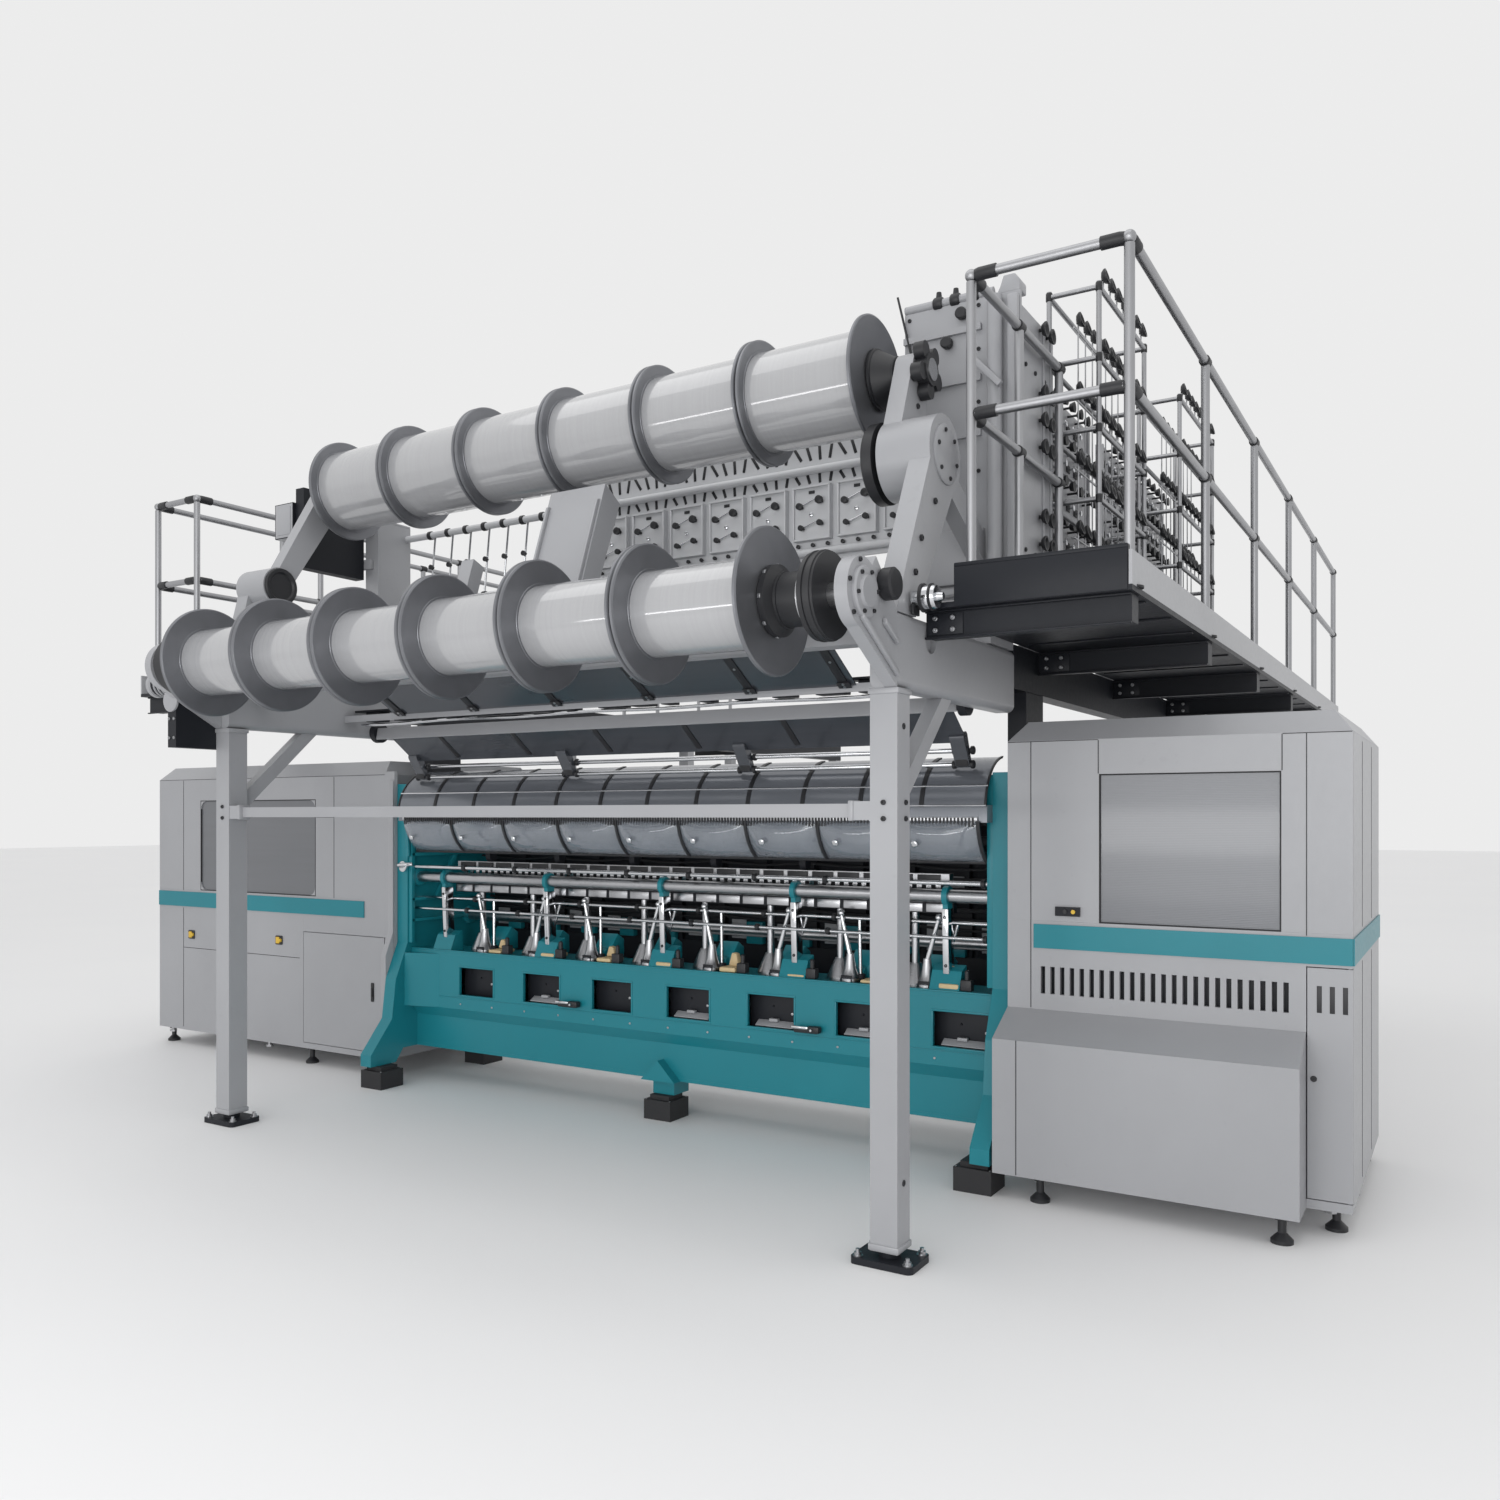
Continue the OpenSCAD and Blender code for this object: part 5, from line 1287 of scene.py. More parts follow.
@dataclass
class Cabinets:
    """Seams, gaskets, trim, latches, locks, vents and foot nuts of the two cabinets."""
    right_y: float = -0.200
    box_y: float = -0.400
    left_y: float = -0.130
    side_x: float = 3.390
    right_window: Opening = ((2.421, 3.129), (1.196, 1.824), -0.200)
    left_window: Opening = ((-3.974, -2.746), (1.126, 1.754), -0.130)
    corner_r: float = 0.055
    seam_w: float = 0.0018
    proud: float = 0.0012
    sunk: float = 0.004

    def build(self) -> None:
        """Builds the details of both cabinets."""
        self.gaskets()
        seams = Form()
        self.right_seams(seams)
        self.left_seams(seams)
        seams.show("cabinet_seams", BLACK)
        self.trim()
        self.latches()
        self.vents()
        self.feet()

    def gaskets(self) -> None:
        """Adds dark gaskets round both windows, and the left one's rounded corners."""
        rims, corners = kit = Kit(window_gaskets=RUBBER, window_corners=LIGHT)
        for x, z, y in (self.right_window, self.left_window):
            rims.frame(x, z, (y - 0.001, y + 0.012), 0.0058, 0.001)
        xs, zs, y = self.left_window
        turns = [math.pi / 2 * k / 6 for k in range(7)]
        for z, up in zip(zs, (1, -1)):
            for x, right in zip(xs, (1, -1)):
                arc = [(x + right * self.corner_r * (1 - math.cos(a)),
                        z + up * self.corner_r * (1 - math.sin(a))) for a in turns]
                corners.prism(Axis.Y, y, y + 0.011, [(x, z)] + arc)
        kit.show()

    def seam(self, seams: Form, x: Span, z: Span, y: float) -> None:
        """Adds one shut line on a wall that faces the front, between two places in X and in Z."""
        seams.box((x[0], y - self.proud, z[0]), (x[1], y + self.sunk, z[1]), 0.0)

    def right_seams(self, seams: Form) -> None:
        """Adds the shut lines on the right cabinet's front and side.

        Args:
            seams: The form that takes them.
        """
        y, w = self.right_y, self.seam_w
        for x, low, high in ((2.116, 0.806, 1.976), (3.2265, 1.180, 1.976), (2.412, 1.832, 1.976),
                             (3.138, 1.832, 1.976)):
            self.seam(seams, (x - w, x + w), (low, high), y)
        self.seam(seams, (2.116 - w, 2.116 + w), (0.115, 0.690), self.box_y)
        for span in ((2.012, 2.410), (3.140, 3.388)):
            self.seam(seams, span, (1.976, 1.979), y)
        for y0 in (0.22, 0.70):
            for low, high in ((0.15, 1.05), (1.19, 1.96)):
                seams.box((self.side_x - self.sunk, y0 - w, low), (self.side_x + self.proud, y0 + w, high),
                          0.0)

    def left_seams(self, seams: Form) -> None:
        """Adds the shut lines on the left cabinet's front.

        Args:
            seams: The form that takes them.
        """
        y, w = self.left_y, self.seam_w
        for x, low, high in ((-4.180, 0.130, 0.990), (-3.640, 0.130, 0.990), (-2.560, 1.115, 1.905),
                             (-4.180, 1.115, 1.905)):
            self.seam(seams, (x - w, x + w), (low, high), y)
        for x, z in (((-4.180, -2.900), (0.702, 0.7055)), ((-2.735, -2.560), (1.640, 1.6435)),
                     ((-4.468, -2.082), (1.9085, 1.9115))):
            self.seam(seams, x, z, y)

    def trim(self) -> None:
        """Adds the bulging corner trim beside the left frame."""
        pale = Form()
        y = self.left_y
        pale.prism(Axis.X, -2.040, -1.9965,
                   [(y - 0.002, 0.150), (y - 0.002, 1.88), (y - 0.012, 1.86), (y - 0.012, 0.92),
                    (y - 0.070, 0.78), (y - 0.070, 0.42), (y - 0.012, 0.22), (y - 0.012, 0.16)], 0.004)
        pale.show("cabinet_trim", LIGHT)

    def latches(self) -> None:
        """Adds latches and the locks of both doors."""
        black, yellow = kit = Kit(latch_plates=BLACK, latch_knobs=YELLOW)
        y = self.left_y
        for x, z in ((-4.080, 0.800), (-3.110, 0.812)):
            black.box((x - 0.034, y - 0.006, z - 0.030), (x + 0.034, y, z + 0.030), 0.006)
            yellow.box((x - 0.026, y - 0.012, z - 0.022), (x + 0.010, y - 0.006, z + 0.022), 0.005)
            yellow.turned([(0.0, 0.012), (0.010, 0.012), (0.014, 0.008)], (x + 0.020, y - 0.006, z), FRONT,
                          16)
        kit.show()
        lock = Form()
        lock.box((-2.205, y - 0.006, 0.470), (-2.180, y + 0.001, 0.590), 0.006)
        lock.box((-2.200, y - 0.011, 0.500), (-2.185, y - 0.006, 0.560), 0.004)
        lock.show("left_door_lock", BLACK, "left_door")
        lock = Form()
        lock.turned([(0.0, 0.012), (0.003, 0.012), (0.005, 0.009), (0.005, 0.003), (0.002, 0.002)],
                    (3.252, self.right_y, 0.620), FRONT, 20)
        lock.show("service_door_lock", BLACK, "service_door")

    def vents(self) -> None:
        """Adds the service door's dark slots and a dark backing behind the right cabinet's vents that paints
        the shade inside them.
        """
        low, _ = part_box("service_door")
        dark = Form()
        x, y = low.x + 0.034, self.right_y
        dark.row(3, (0.046, 0, 0), (x, y - self.proud, 0.880), (x + 0.018, y + 0.003, 0.985), 0.0005)
        dark.show("service_door_vents", BLACK, "service_door")
        # Dark sheet behind the vents: painted shade standing in for the cabinet's shaded inside.
        back = Form()
        back.box((2.130, y + 0.030, 0.840), (3.215, y + 0.034, 1.015), 0.002)
        back.show("vent_shade_backing", DARK)

    def feet(self) -> None:
        """Adds lock nuts and studs on the cabinets' levelling feet."""
        nuts = Form()
        for x in (2.150, 3.300, -4.380, -3.280, -2.180):
            for y in (-0.080, 1.050):
                nuts.turned([(0.0, 0.024), (0.014, 0.024)], (x, y, 0.070), UP, 6)
                nuts.turned([(0.0, 0.012), (0.040, 0.012)], (x, y, 0.070), UP, 14)
        nuts.show("foot_nuts", STEEL)


@dataclass
class Gallery:
    """Elbows, clamps, channel lips, treads and bolts of the gallery."""
    front: float = -1.050
    left_front: float = -0.650
    bay: float = 1.360
    bays: int = 5
    deck: float = 2.4506
    beam_top: float = 2.4303
    rail_h: float = 1.245
    mid_h: float = 0.720
    right: Span = (2.165, 2.753)
    left: Span = (-3.660, -3.240)
    inner_end: float = 0.05
    elbow_r: float = 0.0245
    tread: float = 0.120

    def build(self) -> None:
        """Builds the gallery's details."""
        self.elbows()
        self.channels()
        self.treads()

    def stations(self, front: float) -> list[float]:
        """The Y places of the rail posts and cross beams of one side.

        Args:
            front: The front of that side.

        Returns:
            The front and the ends of the bays behind it.
        """
        return [front] + [self.front + i * self.bay for i in range(1, self.bays + 1)]

    def elbows(self) -> None:
        """Adds black corner elbows, tee clamps and post shoes on the rails."""
        black, shoes = kit = Kit(rail_elbows=BLACK, rail_shoes=BLACK)
        top, mid = self.deck + self.rail_h, self.deck + self.mid_h
        r = self.elbow_r
        for pair, front in ((self.right, self.front), (self.left, self.left_front)):
            for x in pair:
                inward = 1 if x == min(pair) else -1
                for z in (top, mid):
                    black.tube([(x + inward * 0.100, front, z), (x + inward * 0.035, front, z),
                                (x + inward * 0.010, front + 0.010, z), (x, front + 0.035, z),
                                (x, front + 0.100, z)], r, 14)
                short = x == self.right[0]
                for y in (front, (front + self.inner_end) / 2,
                          self.inner_end) if short else self.stations(front):
                    shoes.turned([(0.0, 0.050), (0.008, 0.050), (0.010, 0.028), (0.050, 0.028)],
                                 (x, y, self.deck + 0.0006), UP, 20)
                    if y > front + 0.1:
                        for z in (top, mid):
                            black.collar((x, y - 0.030, z), BACK, r, 0.060, (0.004, 0.003), 16)
        kit.show()

    def channels(self) -> None:
        """Adds lips and end bolts that make the cross beams read as channels."""
        lips, bolts = kit = Kit(channel_lips=DARK, channel_bolts=STEEL)
        z1 = self.beam_top
        for front, x0, x1, face in ((self.front, 2.0015, self.right[1] + 0.020, 2.0013),
                                    (self.left_front, self.left[0] - 0.020, -2.0015, -2.0013)):
            for y in self.stations(front):
                for z in (z1 - 0.108, z1 - 0.008):
                    lips.box((x0, y - 0.062, z), (x1, y - 0.0453, z + 0.008), 0.002)
                side = 1 if face > 0 else -1
                low, high = sorted((face + side * 0.004, face + side * 0.150))
                lips.box((low, y - 0.0515, z1 - 0.094), (high, y - 0.0455, z1 - 0.012), 0.002)
                for dx in (0.040, 0.110):
                    for dz in (0.030, 0.075):
                        bolts.screw((face + side * dx, y - 0.0515, z1 - dz), FRONT, 0.010, 0.008)
        kit.show()

    def treads(self) -> None:
        """Adds raised ribs on the decks, ribs under them and the front lip."""
        ribs, tray = kit = Kit(deck_treads=DARK, deck_trays=DARK)
        x1, y, z = self.right[1], self.front + 0.030, self.deck
        ribs.row(56, (0, self.tread, 0), (2.355, y, z + 0.0003), (x1 - 0.030, y + 0.016, z + 0.0040), 0.001)
        y += 4 * self.tread
        ribs.row(52, (0, self.tread, 0), (self.left[0] + 0.035, y, z + 0.0003),
                 (self.left[1] - 0.035, y + 0.016, z + 0.0040), 0.001)
        y = self.front + 0.15
        tray.row(16, (0, 0.42, 0), (2.060, y, 2.4240), (x1 + 0.015, y + 0.030, 2.4304), 0.002)
        lip = self.front - 0.1035
        tray.box((2.136, lip, z + 0.128), (x1 + 0.019, lip + 0.030, z + 0.143))
        tray.box((2.136, lip, z - 0.018), (x1 + 0.019, lip + 0.0032, z + 0.128), 0.002)
        kit.show()


@dataclass
class Creel:
    """Yarn eyelets, tension cups, wires and fittings of the creel on the right gallery."""
    racks: tuple[Span, ...] = ((0.110, 0.960), (1.810, 2.780))
    rack_x: Span = (2.101, 2.331)
    low: float = 2.4509
    high: float = 4.080
    wire_x: float = 2.216
    levels: int = 5
    wall_x: float = 1.990
    walls: tuple[Span, ...] = ((0.090, 0.290), (0.320, 1.140), (1.400, 2.900))

    def build(self) -> None:
        """Builds the creel's details."""
        self.cups()
        self.wall_parts()
        self.clamps()

    @property
    def step(self) -> float:
        """Height between two levels of the racks."""
        return (self.high - self.low - 0.024) / self.levels

    def cups(self) -> None:
        """Adds rows of black cup eyelets on stems along the racks' levels."""
        cups, stems = kit = Kit(creel_cups=BLACK, creel_stems=STEEL)
        step = self.step
        for y0, y1 in self.racks:
            count = int((y1 - y0) / 0.120)
            places = [y0 + 0.070 + k * (y1 - y0 - 0.140) / (count - 1) for k in range(count)]
            for level in range(1, self.levels + 1):
                z = self.low + level * step
                for y in places:
                    self.cup(cups, stems, Vector((self.rack_x[1], y, z + 0.013)))
                    if level > 1:
                        self.cup(cups, stems, Vector((self.wire_x, y, z - step / 2)))
            for y in places:
                stems.rod((self.wire_x, y, self.low), (self.wire_x, y, self.high - 0.130), 0.0035, sides=8)
            for level in range(1, self.levels + 1):
                z = self.low + level * step - step / 2
                stems.rod((self.wire_x, y0, z), (self.wire_x, y1, z), 0.005, sides=8)
        kit.show()

    @staticmethod
    def cup(cups: Form, stems: Form, at: Vector) -> None:
        """Adds one cup eyelet on its stem.

        Args:
            cups: The form that takes the cup.
            stems: The form that takes the stem.
            at: The stem's foot.
        """
        stems.rod(at - Vector((0, 0, 0.002)), at + Vector((0, 0, 0.040)), 0.004, sides=8)
        cups.turned([(0.0, 0.006), (0.008, 0.026), (0.022, 0.036), (0.030, 0.036), (0.030, 0.028),
                     (0.012, 0.010)], at + Vector((-0.008, 0, 0.050)), (1.0, 0.0, 0.25), 14)
        cups.ball(at + Vector((0, 0, 0.044)), 0.009)

    def wall_parts(self) -> None:
        """Adds flanged rims, slots and tension discs on the creel walls."""
        pale, black, discs = kit = Kit(creel_wall_rims=LIGHT, creel_wall_slots=BLACK, creel_discs=CHROME)
        x, top, low = self.wall_x, 3.740, 2.4306
        for y0, y1 in self.walls:
            for y in (y0, y1 - 0.020):
                pale.box((x, y, low), (x + 0.014, y + 0.020, top))
            for z in (low + 0.16 + row * 0.2 for row in range(6)):
                pale.box((x, y0 + 0.020, z), (x + 0.010, y1 - 0.020, z + 0.014), 0.002)
                for k in range(max(1, int((y1 - y0 - 0.06) / 0.13))):
                    y = y0 + 0.060 + k * 0.130
                    black.box((x, y - 0.030, z + 0.030), (x + 0.006, y + 0.030, z + 0.070))
                    discs.turned([(0.0, 0.006), (0.020, 0.006), (0.022, 0.018), (0.026, 0.018),
                                  (0.030, 0.006)], (x + 0.006, y + 0.012, z + 0.050), RIGHT, 14)
        kit.show()

    def clamps(self) -> None:
        """Adds black clamps where the racks' tubes cross."""
        black = Form()
        for span in self.racks:
            for x in self.rack_x:
                for y in span:
                    black.turned([(0.0, 0.034), (0.006, 0.034), (0.008, 0.017), (0.030, 0.017)],
                                 (x, y, self.low - 0.0002), UP, 16)
                    for level in range(1, self.levels + 1):
                        black.collar((x, y, self.low + level * self.step - 0.020), UP, 0.0155, 0.04,
                                     (0.003, 0.002), 14)
        black.show("creel_clamps", BLACK)


@dataclass
class GuidePanel:
    """Cells, levers, slots and knobs of the guide panel under the upper beam."""
    x0: float = -0.400
    x1: float = 1.6017
    face: float = -0.126
    sheet: float = -0.100
    low: float = 2.920
    cell_top: float = 3.290
    tubes: Span = (2.960, 3.370)
    cells: int = 8

    def build(self) -> None:
        """Builds the panel's details."""
        # The cell rims take the brighter copy of the grey paint, as painted light against the upper beam's
        # shade.
        rims, knobs, levers, slots = kit = Kit(guide_cell_rims=PANEL_WITH_PAINTED_LIGHT, guide_knobs=BLACK, guide_levers=CHROME,
                                               guide_slots=BLACK)
        pitch = (self.x1 - self.x0) / self.cells
        for i in range(self.cells):
            self.cell(self.x0 + i * pitch + 0.020, pitch - 0.040, rims, knobs, levers)
            self.slot_fan(self.x0 + i * pitch, pitch, slots, knobs)
        self.left_run(knobs, levers)
        kit.show()

    @staticmethod
    def knob(form: Form, x: float, z: float, radius: float, reach: float, y: float) -> None:
        """Adds one turned knob that faces the front.

        Args:
            form: The form that takes it.
            x: Its place along the panel.
            z: Its height.
            radius: Its radius.
            reach: How far it stands out.
            y: The face that it stands on.
        """
        form.turned([(-0.001, radius * 0.5), (reach * 0.5, radius * 0.5), (reach * 0.55, radius),
                     (reach * 0.95, radius), (reach, radius * 0.8)], (x, y, z), FRONT, 14)

    def cell(self, x: float, width: float, rims: Form, knobs: Form, levers: Form) -> None:
        """Adds the rim, four knobs and two levers of one cell.

        Args:
            x: Left edge of the cell.
            width: Its width.
            rims: The form that takes the rim.
            knobs: The form that takes the knobs.
            levers: The form that takes the levers.
        """
        z0, z1 = self.low + 0.100, self.cell_top
        y = self.face
        edge = 0.010
        rims.frame((x + edge, x + width - edge), (z0 + edge, z1 - edge), (y - 0.012, y), edge, 0.002)
        tall = z1 - z0
        spots = [(x + width * u, z0 + tall * v) for u,
                 v in ((0.24, 0.62), (0.76, 0.70), (0.28, 0.22), (0.78, 0.28))]
        for at, radius in zip(spots, (0.017, 0.020, 0.014, 0.015)):
            self.knob(knobs, *at, radius, 0.040, y)
        for start, end in ((spots[0], spots[1]), (spots[2], spots[3])):
            levers.rod((start[0], y - 0.020, start[1]), (end[0], y - 0.036, end[1] + 0.012), 0.0045, 0.003, 8)
        levers.turned([(0.0, 0.010), (0.012, 0.010), (0.014, 0.006)], (x + width * 0.5, y, z0 + tall * 0.46),
                      FRONT, 12)
        knobs.box((x + width * 0.42, y - 0.004, z1 - 0.040), (x + width * 0.58, y + 0.001, z1 - 0.024), 0.002)

    def slot_fan(self, x: float, pitch: float, slots: Form, knobs: Form) -> None:
        """Adds the fan of slanted slots above a cell and the small knobs below it.

        Args:
            x: Left edge of the bay.
            pitch: Its width.
            slots: The form that takes the slots.
            knobs: The form that takes the knobs.
        """
        for k in range(4):
            cx = x + pitch * (k + 0.5) / 4
            tilt = math.radians(-32 + 14 * k)
            for z, half in ((self.cell_top + 0.042, 0.024), (self.cell_top + 0.172, 0.040)):
                turn = Matrix.Translation((cx, self.sheet, z)) @ Matrix.Rotation(tilt, 4, "Y")
                slots.box((-0.008, -0.0025, -half), (0.008, 0.002, half), 0.002, turn)
        for k in range(3):
            self.knob(knobs, x + pitch * (k + 0.5) / 3, self.low + 0.078, 0.010, 0.022, self.sheet)

    def left_run(self, knobs: Form, levers: Form) -> None:
        """Adds knobs and stays on the two tubes left of the panel.

        Args:
            knobs: The form that takes the knobs.
            levers: The form that takes the stays.
        """
        for k in range(9):
            x = -1.700 + k * 0.150
            for z in self.tubes:
                knobs.collar((x, -0.1203, z), RIGHT, 0.026, 0.03, (0.004, 0.0058), 16)
            levers.rod((x + 0.015, -0.124, self.tubes[0]), (x + 0.060, -0.124, self.tubes[1]), 0.006, sides=8)
            self.knob(knobs, x + 0.040, self.low + 0.250, 0.015, 0.030, -0.122)


@dataclass
class Towers:
    """Knobs, tubes and plates on the right tower, and the cap plate of the left one."""
    face: float = -0.400
    top: float = 3.900
    side: float = 2.134

    def build(self) -> None:
        """Builds the towers' details."""
        black, pale, screws = kit = Kit(tower_knobs=BLACK, tower_plates=LIGHT, tower_screws=BLACK)
        for x, z, r in ((1.812, 3.725, 0.026), (1.880, 3.840, 0.026), (1.690, 3.700, 0.018),
                        (1.900, 2.700, 0.020)):
            black.turned([(0.0, r * 0.7), (0.014, r * 0.7), (0.016, r), (0.040, r), (0.044, r * 0.8)],
                         (x, self.face, z), FRONT, 20)
        for x in (1.760, 1.840, 1.930):
            black.collar((x - 0.021, self.face + 0.012, self.top + 0.0203), RIGHT, 0.03, 0.042,
                         (0.006, 0.004), 24)
            black.rod((x, self.face + 0.012, self.top + 0.045), (x, self.face + 0.012, self.top + 0.072),
                      0.014, 0.011, 14)
        black.rod((1.655, self.face - 0.012, 3.640), (1.575, self.face - 0.020, 3.980), 0.006, 0.005, 10)
        pale.prism(Axis.Y, self.face, self.face + 0.090,
                   [(2.030, self.top), (2.133, self.top), (2.133, 3.945), (2.110, 3.975), (2.060, 3.975),
                    (2.045, 3.930)], 0.006)
        tilt = Matrix.Translation((2.012, self.face, 3.548)) @ Matrix.Rotation(math.radians(47), 4, "Y")
        pale.box((-0.100, -0.090, -0.014), (0.092, -0.064, 0.014), 0.004, tilt)
        pale.box((2.085, self.face - 0.030, 2.620), (2.134, self.face - 0.0003, 3.880), 0.010)
        pale.box((1.604, self.face - 0.060, 2.610), (1.990, self.face - 0.0003, 2.640), 0.006)
        pale.box((1.640, self.face - 0.028, 2.660), (1.980, self.face - 0.0003, 2.900), 0.008)
        for x in (1.625, 1.950):
            for z in (3.150, 3.450, 3.680, 3.870):
                screws.screw((x, self.face, z), FRONT, 0.009, 0.007)
        for y in (-0.350, -0.220, -0.090):
            for z in (2.800, 3.600):
                screws.screw((self.side, y + 0.02, z), RIGHT, 0.010, 0.008)
        pale.box((-2.000, -0.352, 3.4403), (-1.892, -0.093, 3.455), 0.004)
        for z in (2.740, 2.860, 2.980, 3.290, 3.410, 3.530, 3.810):
            for y in (-0.140, -0.040):
                black.turned([(0.0, 0.008), (0.012, 0.008), (0.016, 0.024), (0.030, 0.034), (0.036, 0.034),
                              (0.036, 0.026), (0.020, 0.010)], (self.side, y, z), RIGHT, 16)
        for y in (-0.090, 0.020):
            pale.box((2.1338, y - 0.010, 2.640), (2.142, y + 0.010, 3.840), 0.002)
        kit.show()


@dataclass
class Arms:
    """Covers, bolts and plates on the arms, the posts, the left let-off drives and the centre support."""
    box: Span = (-0.880, 3.090)
    left_box: Span = (-1.143, 2.896)
    beam: Span = UPPER_AXIS
    arm_x: float = 1.991
    post: Span = (1.946, -1.306)

    def build(self) -> None:
        """Builds the details."""
        self.housings()
        self.posts()
        self.left_drives()
        self.support()

    def housings(self) -> None:
        """Adds the right housing's cover and screws, and the black cap of the left one."""
        pale, black = kit = Kit(housing_covers=LIGHT, housing_bolts=BLACK)
        y, z = self.box
        face = self.arm_x
        pale.turned([(0.0, 0.120), (0.006, 0.120), (0.010, 0.114), (0.010, 0.0)], (face, y, z), RIGHT, 48)
        black.screw_ring((face + 0.010, y, z), RIGHT, 0.095, 6, 0.009, 0.007)
        for dy, dz in ((-0.245, -0.380), (-0.110, -0.210), (-0.300, -0.520)):
            black.screw((face, y + dy, z + dz), RIGHT, 0.013, 0.010)
        black.screw((1.840, self.beam[0] - 0.03, self.beam[1] - 0.150), RIGHT, 0.011, 0.009)
        black.turned([(0.0, 0.094), (0.003, 0.099), (0.016, 0.099), (0.020, 0.094), (0.020, 0.078),
                      (0.010, 0.070), (0.010, 0.0)], (-1.760, *self.left_box), RIGHT, 48)
        kit.show()

    def posts(self) -> None:
        """Adds foot nuts, plates and screws on the posts and the tie bar."""
        nuts, plates, screws = kit = Kit(post_foot_nuts=STEEL, post_plates=LIGHT, post_screws=BLACK)
        x0, y0 = self.post
        for side in (-1, 1):
            x = side * x0
            for dx in (-0.100, 0.100):
                for dy in (-0.065, 0.065):
                    nuts.turned([(0.0, 0.020), (0.003, 0.020), (0.003, 0.014), (0.014, 0.014), (0.014, 0.008),
                                 (0.026, 0.008)], (x + dx, y0 + dy, 0.026), UP, 12)
            plates.box((x - 0.062, y0 - 0.062, 2.098), (x + 0.062, y0 + 0.062, 2.1200), 0.004)
            plates.box((x - 0.062, y0 - 0.062, 0.052), (x + 0.062, y0 + 0.062, 0.078), 0.006)
            for dz in (1.640, 1.700):
                screws.screw((x, y0 - 0.055, dz), FRONT, 0.010, 0.008)
                screws.screw((x + side * 0.055, y0 + 0.015, dz), (side, 0, 0), 0.010, 0.008)
            for dz in (0.300, 1.980):
                screws.screw((x + side * 0.055, y0, dz), (side, 0, 0), 0.012, 0.004)
            low, high = sorted((side * 1.800, side * 1.822))
            plates.box((low, -1.364, 1.632), (high, -1.298, 1.708), 0.004)
        kit.show()

    def left_drives(self) -> None:
        """Adds fins, caps, plates, screws and a cable on the left let-off drives."""
        fins, pale, bolts, cable = kit = Kit(motor_fins=LIGHT, drive_caps=LIGHT, drive_screws=STEEL,
                                             drive_cable=RUBBER)
        y, z = -1.490, 2.360
        for k in range(6):
            at = (-2.110 - k * 0.030, y, z)
            fins.collar(at, LEFT, 0.066, 0.012, (0.002, 0.0058), 32)
        pale.turned([(0.0, 0.0602), (0.006, 0.068), (0.030, 0.068), (0.044, 0.050), (0.044, 0.0)],
                    (-2.300, y, z), LEFT, 32)
        pale.box((-2.250, y - 0.035, z + 0.050), (-2.160, y + 0.035, z + 0.105), 0.008)
        cable.tube([(-2.205, y, z + 0.100), (-2.205, y + 0.02, z + 0.140), (-2.190, y + 0.08, z + 0.165),
                    (-2.130, y + 0.150, z + 0.172), (-2.075, y + 0.180, z + 0.172)], 0.011, 12)
        front = -1.594
        pale.turned([(0.0, 0.060), (0.010, 0.060), (0.016, 0.052), (0.016, 0.0)], (-2.036, front, 2.255),
                    FRONT, 32)
        low, high = (-2.2215, -0.8285, 3.2695), (-2.0618, -0.6575, 3.4705)
        pale.box(low, high, 0.006)
        pale.box((low[0] + 0.020, low[1] - 0.004, low[2] + 0.020),
                 (high[0] - 0.020, low[1] + 0.002, high[2] - 0.020), 0.002)
        pale.box((-2.074, -1.606, 2.4802), (-1.9995, -1.277, 2.5315), 0.006)
        for dz in (3.150, 3.360):
            pale.box((-2.040, -0.3735, dz), (-1.930, -0.3495, dz + 0.060))
        for dz in (2.060, 2.160, 2.360, 2.440):
            for dx in (-2.058, -2.016):
                bolts.screw((dx, front, dz), FRONT, 0.008, 0.006)
        kit.show()

    def support(self) -> None:
        """Adds bolted feet and stiffening ribs on the plates under the upper beam."""
        pale, bolts = kit = Kit(support_feet=LIGHT, support_bolts=BLACK)
        for x0, x1 in ((0.000, 0.330), (-0.480, -0.400)):
            pale.box((x0 - 0.020, -1.246, 2.3906), (x1 + 0.020, -1.132, 2.4020))
            for x in (x0 - 0.002, x1 + 0.002):
                for y in (-1.228, -1.150):
                    bolts.screw((x, y, 2.4020), UP, 0.010, 0.009)
        for x in (0.015, 0.315):
            pale.prism(Axis.X, x - 0.006, x + 0.006,
                       [(-1.2195, 2.420), (-1.242, 2.420), (-0.998, 3.120), (-0.977, 3.125)], 0.002)
        kit.show()


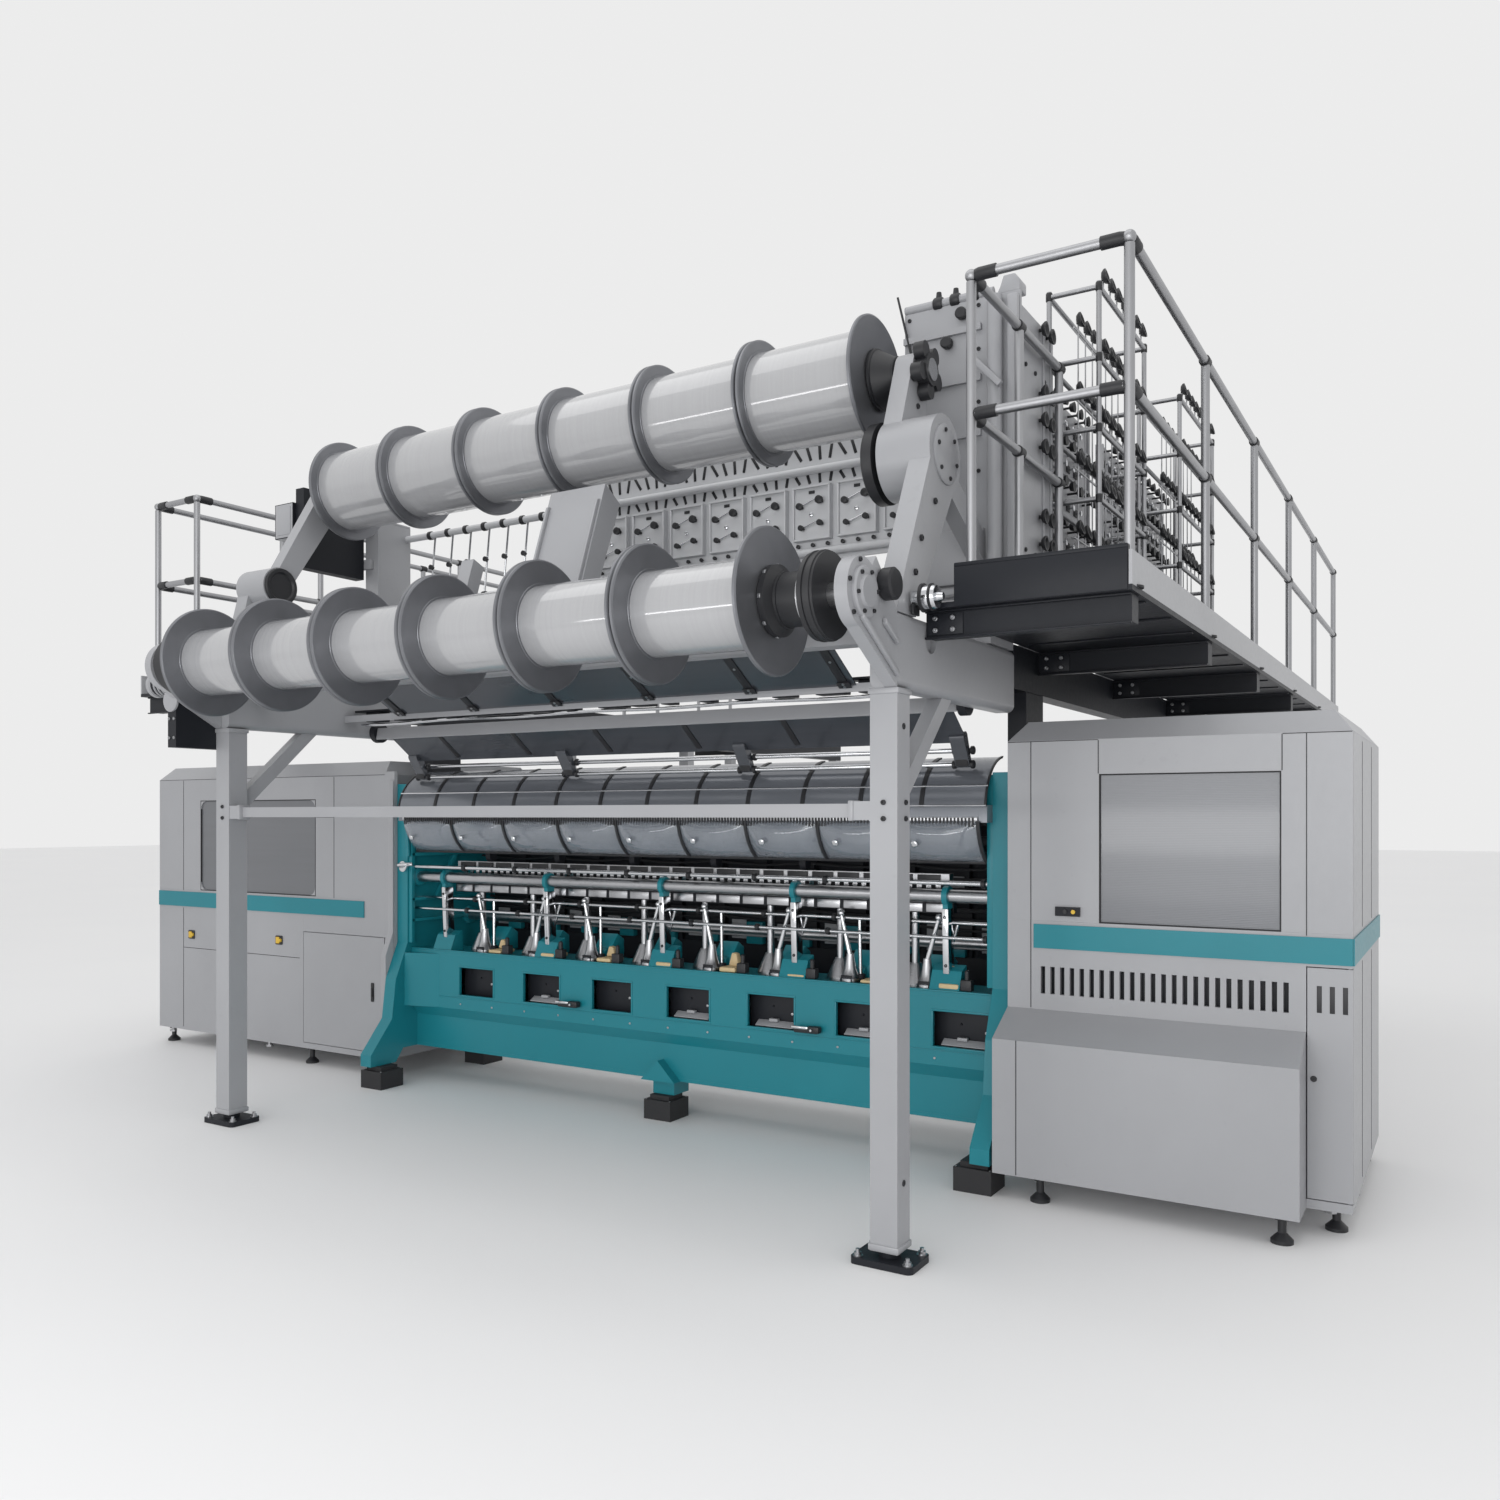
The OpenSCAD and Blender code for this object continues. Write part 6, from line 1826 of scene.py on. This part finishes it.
@dataclass
class Studio:
    """Camera, pale floor and soft light."""
    camera_at: Point = (3.811, -5.340, 1.650)
    camera_turn: float = 31.5
    lens: float = 28.63
    sensor: float = 36.0
    shift: float = 0.044
    far: float = 200.0
    white: float = 0.84
    floor_half: float = 60.0

    def build(self) -> None:
        """Sets up the floor, the light and the camera."""
        self.floor()
        self.lamps()
        self.camera()

    def floor(self) -> None:
        """Adds a large pale floor."""
        g = Graph("studio_floor")
        cloud = g.noise(0.4, 3.0)
        g.set(Base_Color=g.mix(cloud, (0.84, 0.84, 0.85), (0.88, 0.88, 0.88)), Roughness=0.55 + cloud * 0.1)
        half = self.floor_half
        data = bpy.data.meshes.new("studio_floor")
        data.from_pydata([(-half, -half, 0), (half, -half, 0), (half, half, 0), (-half, half, 0)], [],
                         [(0, 1, 2, 3)])
        data.materials.append(g.material)
        floor = bpy.data.objects.new("studio_floor", data)
        bpy.context.scene.collection.objects.link(floor)

    def lamps(self) -> None:
        """Adds a pale sky and broad lamps; the long low one makes the streak on the beams."""
        world = bpy.data.worlds.new("studio_sky")
        world.use_nodes = True
        sky = world.node_tree.nodes["Background"]
        sky.inputs["Color"].default_value = (1.0, 1.0, 1.0, 1.0)
        sky.inputs["Strength"].default_value = self.white
        bpy.context.scene.world = world
        self.lamp("lamp_top", (0.0, -2.0, 8.5), (0.0, 0.0, 1.5), (9.0, 5.0), 110.0)
        self.lamp("lamp_front", (2.5, -9.5, 2.6), (0.0, 0.0, 2.2), (7.0, 4.0), 190.0)
        self.lamp("lamp_strip", (1.5, -7.2, 1.5), (0.0, -1.2, 2.9), (13.0, 0.45), 90.0)

    @staticmethod
    def lamp(name: str, at: Point, aim: Point, size: Span, watts: float) -> None:
        """Adds one rectangular lamp.

        Args:
            name: The lamp's name.
            at: Its place.
            aim: The point it faces.
            size: Its width and height.
            watts: Its power.
        """
        data = bpy.data.lights.new(name, "AREA")
        data.shape = "RECTANGLE"
        data.size, data.size_y = size
        data.energy = watts
        made = bpy.data.objects.new(name, data)
        made.location = at
        made.rotation_euler = (Vector(aim) - Vector(at)).to_track_quat("-Z", "Y").to_euler()
        bpy.context.scene.collection.objects.link(made)

    def camera(self) -> None:
        """Puts the camera where the photo was taken."""
        data = bpy.data.cameras.new("photo_camera")
        data.sensor_width = self.sensor
        data.lens = self.lens
        data.shift_y = self.shift
        data.clip_end = self.far
        made = bpy.data.objects.new("photo_camera", data)
        made.location = self.camera_at
        made.rotation_euler = (math.radians(90), 0.0, math.radians(self.camera_turn))
        bpy.context.scene.collection.objects.link(made)
        bpy.context.scene.camera = made
        bpy.context.scene.view_settings.view_transform = "Standard"


def main() -> None:
    """Builds every sub-assembly in order, then the studio round them."""
    logging.basicConfig(level=logging.INFO, format="%(name)s: %(message)s")
    for assembly in (Dressing, WarpBeams, Girder, KnittingZone, Shields, Cabinets, Gallery, Creel, GuidePanel,
                     Towers, Arms):
        LOG.info("building %s", assembly.__name__)
        assembly().build()
    Studio().build()


if __name__ == "__main__":
    main()
